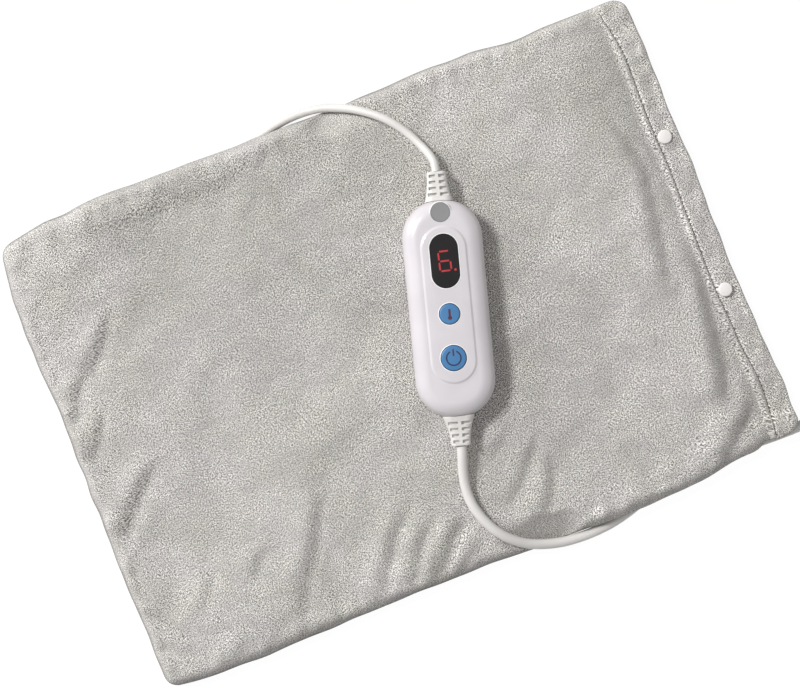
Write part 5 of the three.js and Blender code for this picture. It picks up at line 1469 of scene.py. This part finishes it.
def make_sleeves():
    """Strain reliefs with rows of pockets either side of a spine, held by a neck in the housing."""
    end = BODY_LENGTH / 2
    turn = Matrix.Translation((end, 0, BODY_PART)) @ Matrix.Rotation(math.pi / 2, 4, "Y")
    pitch = (SLEEVE_LENGTH - SLEEVE_TIP_BAND - SLEEVE_ROOT_BAND - POCKET_WIDTH) / (SLEEVE_ROWS - 1)
    stations = [0, *np.linspace(0.8, SLEEVE_LENGTH - SLEEVE_EDGE, SLEEVE_STATIONS)]
    for name, (side, base) in SLEEVES.items():
        sections = [(x, sleeve_width(base, x)) for x in stations]
        sections.append((SLEEVE_LENGTH, sections[-1][1] - SLEEVE_EDGE_FALL))
        root = plate(base * SLEEVE_HEIGHT_SHARE, base, base * SLEEVE_CORNER_SHARE, (0, 0, -SLEEVE_ROOT), 8)
        ribbed = stretched(root, [(x + SLEEVE_ROOT, width / base, width / base) for x, width in sections])
        pockets = []
        for row in range(SLEEVE_ROWS):
            start = SLEEVE_ROOT_BAND + row * pitch
            width = sleeve_width(base, start + POCKET_WIDTH / 2)
            face = width * SLEEVE_HEIGHT_SHARE / 2
            for up in (1, -1):
                for across in (1, -1):
                    depth = sorted((up * (face - POCKET_DEPTH), up * (face + OVERRUN)))
                    reach = sorted((across * SPINE_WIDTH / 2, across * (width / 2 - RAIL_WIDTH)))
                    pockets.append(bar(*depth, *reach, start, start + POCKET_WIDTH))
        ribbed = moved(combined(ribbed, ("DIFFERENCE", gathered(pockets))), turn)
        seat = combined(
            upper_body(-TOUCH_GAP, BODY_PART - SEAT_OVERLAP), ("UNION", lower_body(-TOUCH_GAP, BODY_PART)))
        collar = end - BODY_WALL - TOUCH_GAP
        neck = rod(NECK_RADIUS, collar - COLLAR_LENGTH, end + OVERRUN, BODY_PART)
        ribbed = combined(ribbed, ("DIFFERENCE", seat), ("UNION", neck))
        if side < 0:
            moved(ribbed, Matrix.Rotation(math.pi, 4, "Z"))
        piece(f"sleeve_{name}", ribbed, "cord", replaces=[f"strain_relief_{name}"], matrix=IN_CONTROLLER,
              sharp=30)


# Press studs, tie and plug

def make_studs():
    """Domed caps on short posts, at the CAD caps' places and sizes."""
    post_radius, thickness, edge, shoulder, crown = 1.1, 1.7, 0.3, 0.9, 0.08
    for index in (1, 2):
        low, high = (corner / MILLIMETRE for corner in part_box(f"stud_{index}_cap"))
        centre = (low + high) / 2
        radius, top = (high.x - low.x) / 2, high.z
        rim = top - thickness
        cap = turned([
            (0, low.z), (post_radius, low.z), (post_radius, rim), (radius - edge, rim),
            (radius, rim + edge), *quarter_round(radius, top - edge, shoulder, shoulder, 6),
            (radius * 0.45, top - crown), (0, top)],
            (centre.x, centre.y), 56)
        piece(f"stud_{index}_dome", cap, "stud", replaces=[f"stud_{index}_cap"], sharp=40)


def make_tie():
    """A band round both layers of the coil."""
    reach = COIL_PITCH * COIL_TURNS / 2 + MAINS_CORD / 2 + TOUCH_GAP * 2
    height = COIL_HIGH + MAINS_CORD / 2 + TOUCH_GAP + TIE_THICKNESS
    loop = plate(2 * (reach + TIE_THICKNESS), height, TIE_OUTER_CORNER, (0, height / 2, 0), 6)
    inner = plate(2 * reach, height - 2 * TIE_THICKNESS, TIE_INNER_CORNER, (0, height / 2, -OVERRUN), 6)
    band = combined(
        raised(loop, [(0, TIE_WIDTH)]), ("DIFFERENCE", raised(inner, [(0, TIE_WIDTH + 2 * OVERRUN)])))
    upright = Matrix.Translation((0, TIE_WIDTH / 2, 0)) @ Matrix.Rotation(math.pi / 2, 4, "X")
    turn = Matrix.Rotation(TIE_TURN, 4, "Z")
    place = Matrix.Translation((*COIL_CENTRE, 0)) @ turn @ Matrix.Translation((COIL_MEAN_RADIUS, 0, 0))
    return piece("tie_band", softened(band, TIE_EDGE), "tie", replaces=["coil_tie"], matrix=place @ upright)


def plug_relief_profile():
    """Rings with grooves between them, swelling towards the plug."""
    profile = [(0, TOUCH_GAP), (PLUG_SLEEVE_RADIUS * 0.7, TOUCH_GAP)]
    for i in range(PLUG_RINGS):
        ring_end = TOUCH_GAP + PLUG_RING_START + i * PLUG_RING_PITCH
        radius = PLUG_SLEEVE_RADIUS * (0.76 + 0.24 * i / (PLUG_RINGS - 1))
        profile += [
            (radius - 0.25, ring_end - 2.6), (radius, ring_end - 2.3), (radius, ring_end),
            (radius - 0.3, ring_end + 0.3), (radius - PLUG_RING_GROOVE, ring_end + 0.5),
            (radius - PLUG_RING_GROOVE, ring_end + 1.3)]
    end = TOUCH_GAP + PLUG_SLEEVE_LENGTH
    return [*profile, (PLUG_SLEEVE_RADIUS, end - 1.6), (PLUG_SLEEVE_RADIUS, end), (0, end)]


def plug_sections():
    """Heights and shares of the tail's sizes, as the plug widens to its face and rounds off there."""
    sections = []
    for along in np.linspace(0.05, 1, PLUG_STATIONS):
        height = PLUG_TAIL_HEIGHT_SHARE + (1 - PLUG_TAIL_HEIGHT_SHARE) * float(smoothstep(along / 0.3))
        width = PLUG_TAIL_WIDTH_SHARE + (1 - PLUG_TAIL_WIDTH_SHARE) * float(smoothstep(along / 0.82))
        edge = 1 - PLUG_EDGE_FALL * max(0.0, (along - PLUG_EDGE_FROM) / (1 - PLUG_EDGE_FROM))
        sections.append((
            along * PLUG_LENGTH,
            height * edge / PLUG_TAIL_HEIGHT_SHARE, width * edge / PLUG_TAIL_WIDTH_SHARE))
    return sections


def make_plug():
    """Strain relief, body and two pins, lying on the floor at the end of the lead."""
    route, heading = coil_route()
    place = Matrix.Translation(route[-1]) @ Matrix.Rotation(math.atan2(-heading.y, -heading.x), 4, "Z")
    lying = place @ Matrix.Rotation(math.pi / 2, 4, "Y")
    relief = turned(plug_relief_profile(), steps=40)
    relief = piece("plug_sleeve", relief, "cord", replaces=["plug_relief"], matrix=lying, sharp=30)

    start = TOUCH_GAP + PLUG_SLEEVE_LENGTH + TOUCH_GAP
    face = start + PLUG_LENGTH
    tail_height = PLUG_HEIGHT * PLUG_TAIL_HEIGHT_SHARE
    tail = plate(
        tail_height, PLUG_WIDTH * PLUG_TAIL_WIDTH_SHARE, tail_height * PLUG_CORNER_SHARE, (0, 0, start), 8)
    spots = [(0, hand * PIN_SPACING / 2) for hand in (1, -1)]
    sheaths = gathered([post(PIN_RADIUS, face - OVERRUN, face + PIN_SHEATH, spot) for spot in spots])
    bores = gathered([
        post(PIN_SHANK + TOUCH_GAP, face - OVERRUN, face + PIN_SHEATH + OVERRUN, spot, 24)
        for spot in spots])
    grips = []
    for side in (1, -1):
        middle = side * (PLUG_HEIGHT / 2 + GRIP_DEPTH)
        grips += [
            bar(middle - 2 * GRIP_DEPTH, middle + 2 * GRIP_DEPTH, -GRIP_HALF_WIDTH, GRIP_HALF_WIDTH,
                start + grip - GRIP_HALF_LENGTH, start + grip + GRIP_HALF_LENGTH) for grip in GRIP_PLACES]
    body = combined(
        stretched(tail, plug_sections()), ("UNION", sheaths), ("DIFFERENCE", bores),
        ("DIFFERENCE", gathered(grips)))
    body = piece("plug_housing", body, "cord", replaces=["plug_body"], matrix=lying, sharp=30)
    pins = []
    root, shank = face - OVERRUN + TOUCH_GAP, face + PIN_SHEATH + TOUCH_GAP
    for index, spot in enumerate(spots):
        pin = turned([
            (0, root), (PIN_SHANK, root), (PIN_SHANK, shank), (PIN_RADIUS - 0.1, shank),
            (PIN_RADIUS, shank + 0.1),
            *quarter_round(PIN_RADIUS, face + PIN_LENGTH, PIN_RADIUS, PIN_RADIUS * 0.8)], spot, 32)
        pins.append(piece(
            f"plug_contact_{index + 1}", pin, "steel", replaces=[f"plug_pin_{index + 1}"], matrix=lying))
    return [relief, body, *pins]


# The slack cloth is simulated once, and the pieces after it read its heights
BUCKLED = buckled_cloth()

set_view()
set_light()
make_floor()
make_cords([make_tie(), *make_plug()])
make_insert()
make_cover()
make_studs()
make_housing()
make_window()
make_badge()
make_lips()
make_buttons()
make_sleeves()

# CAD nodes that stay in the model take the finish of their slot
slot_of = {part["node"]: part["material_slot"] for part in frame["record"]["subparts"]}
for name, node in frame["nodes"].items():
    node.data.materials.clear()
    node.data.materials.append(MATERIALS[slot_of[name]])
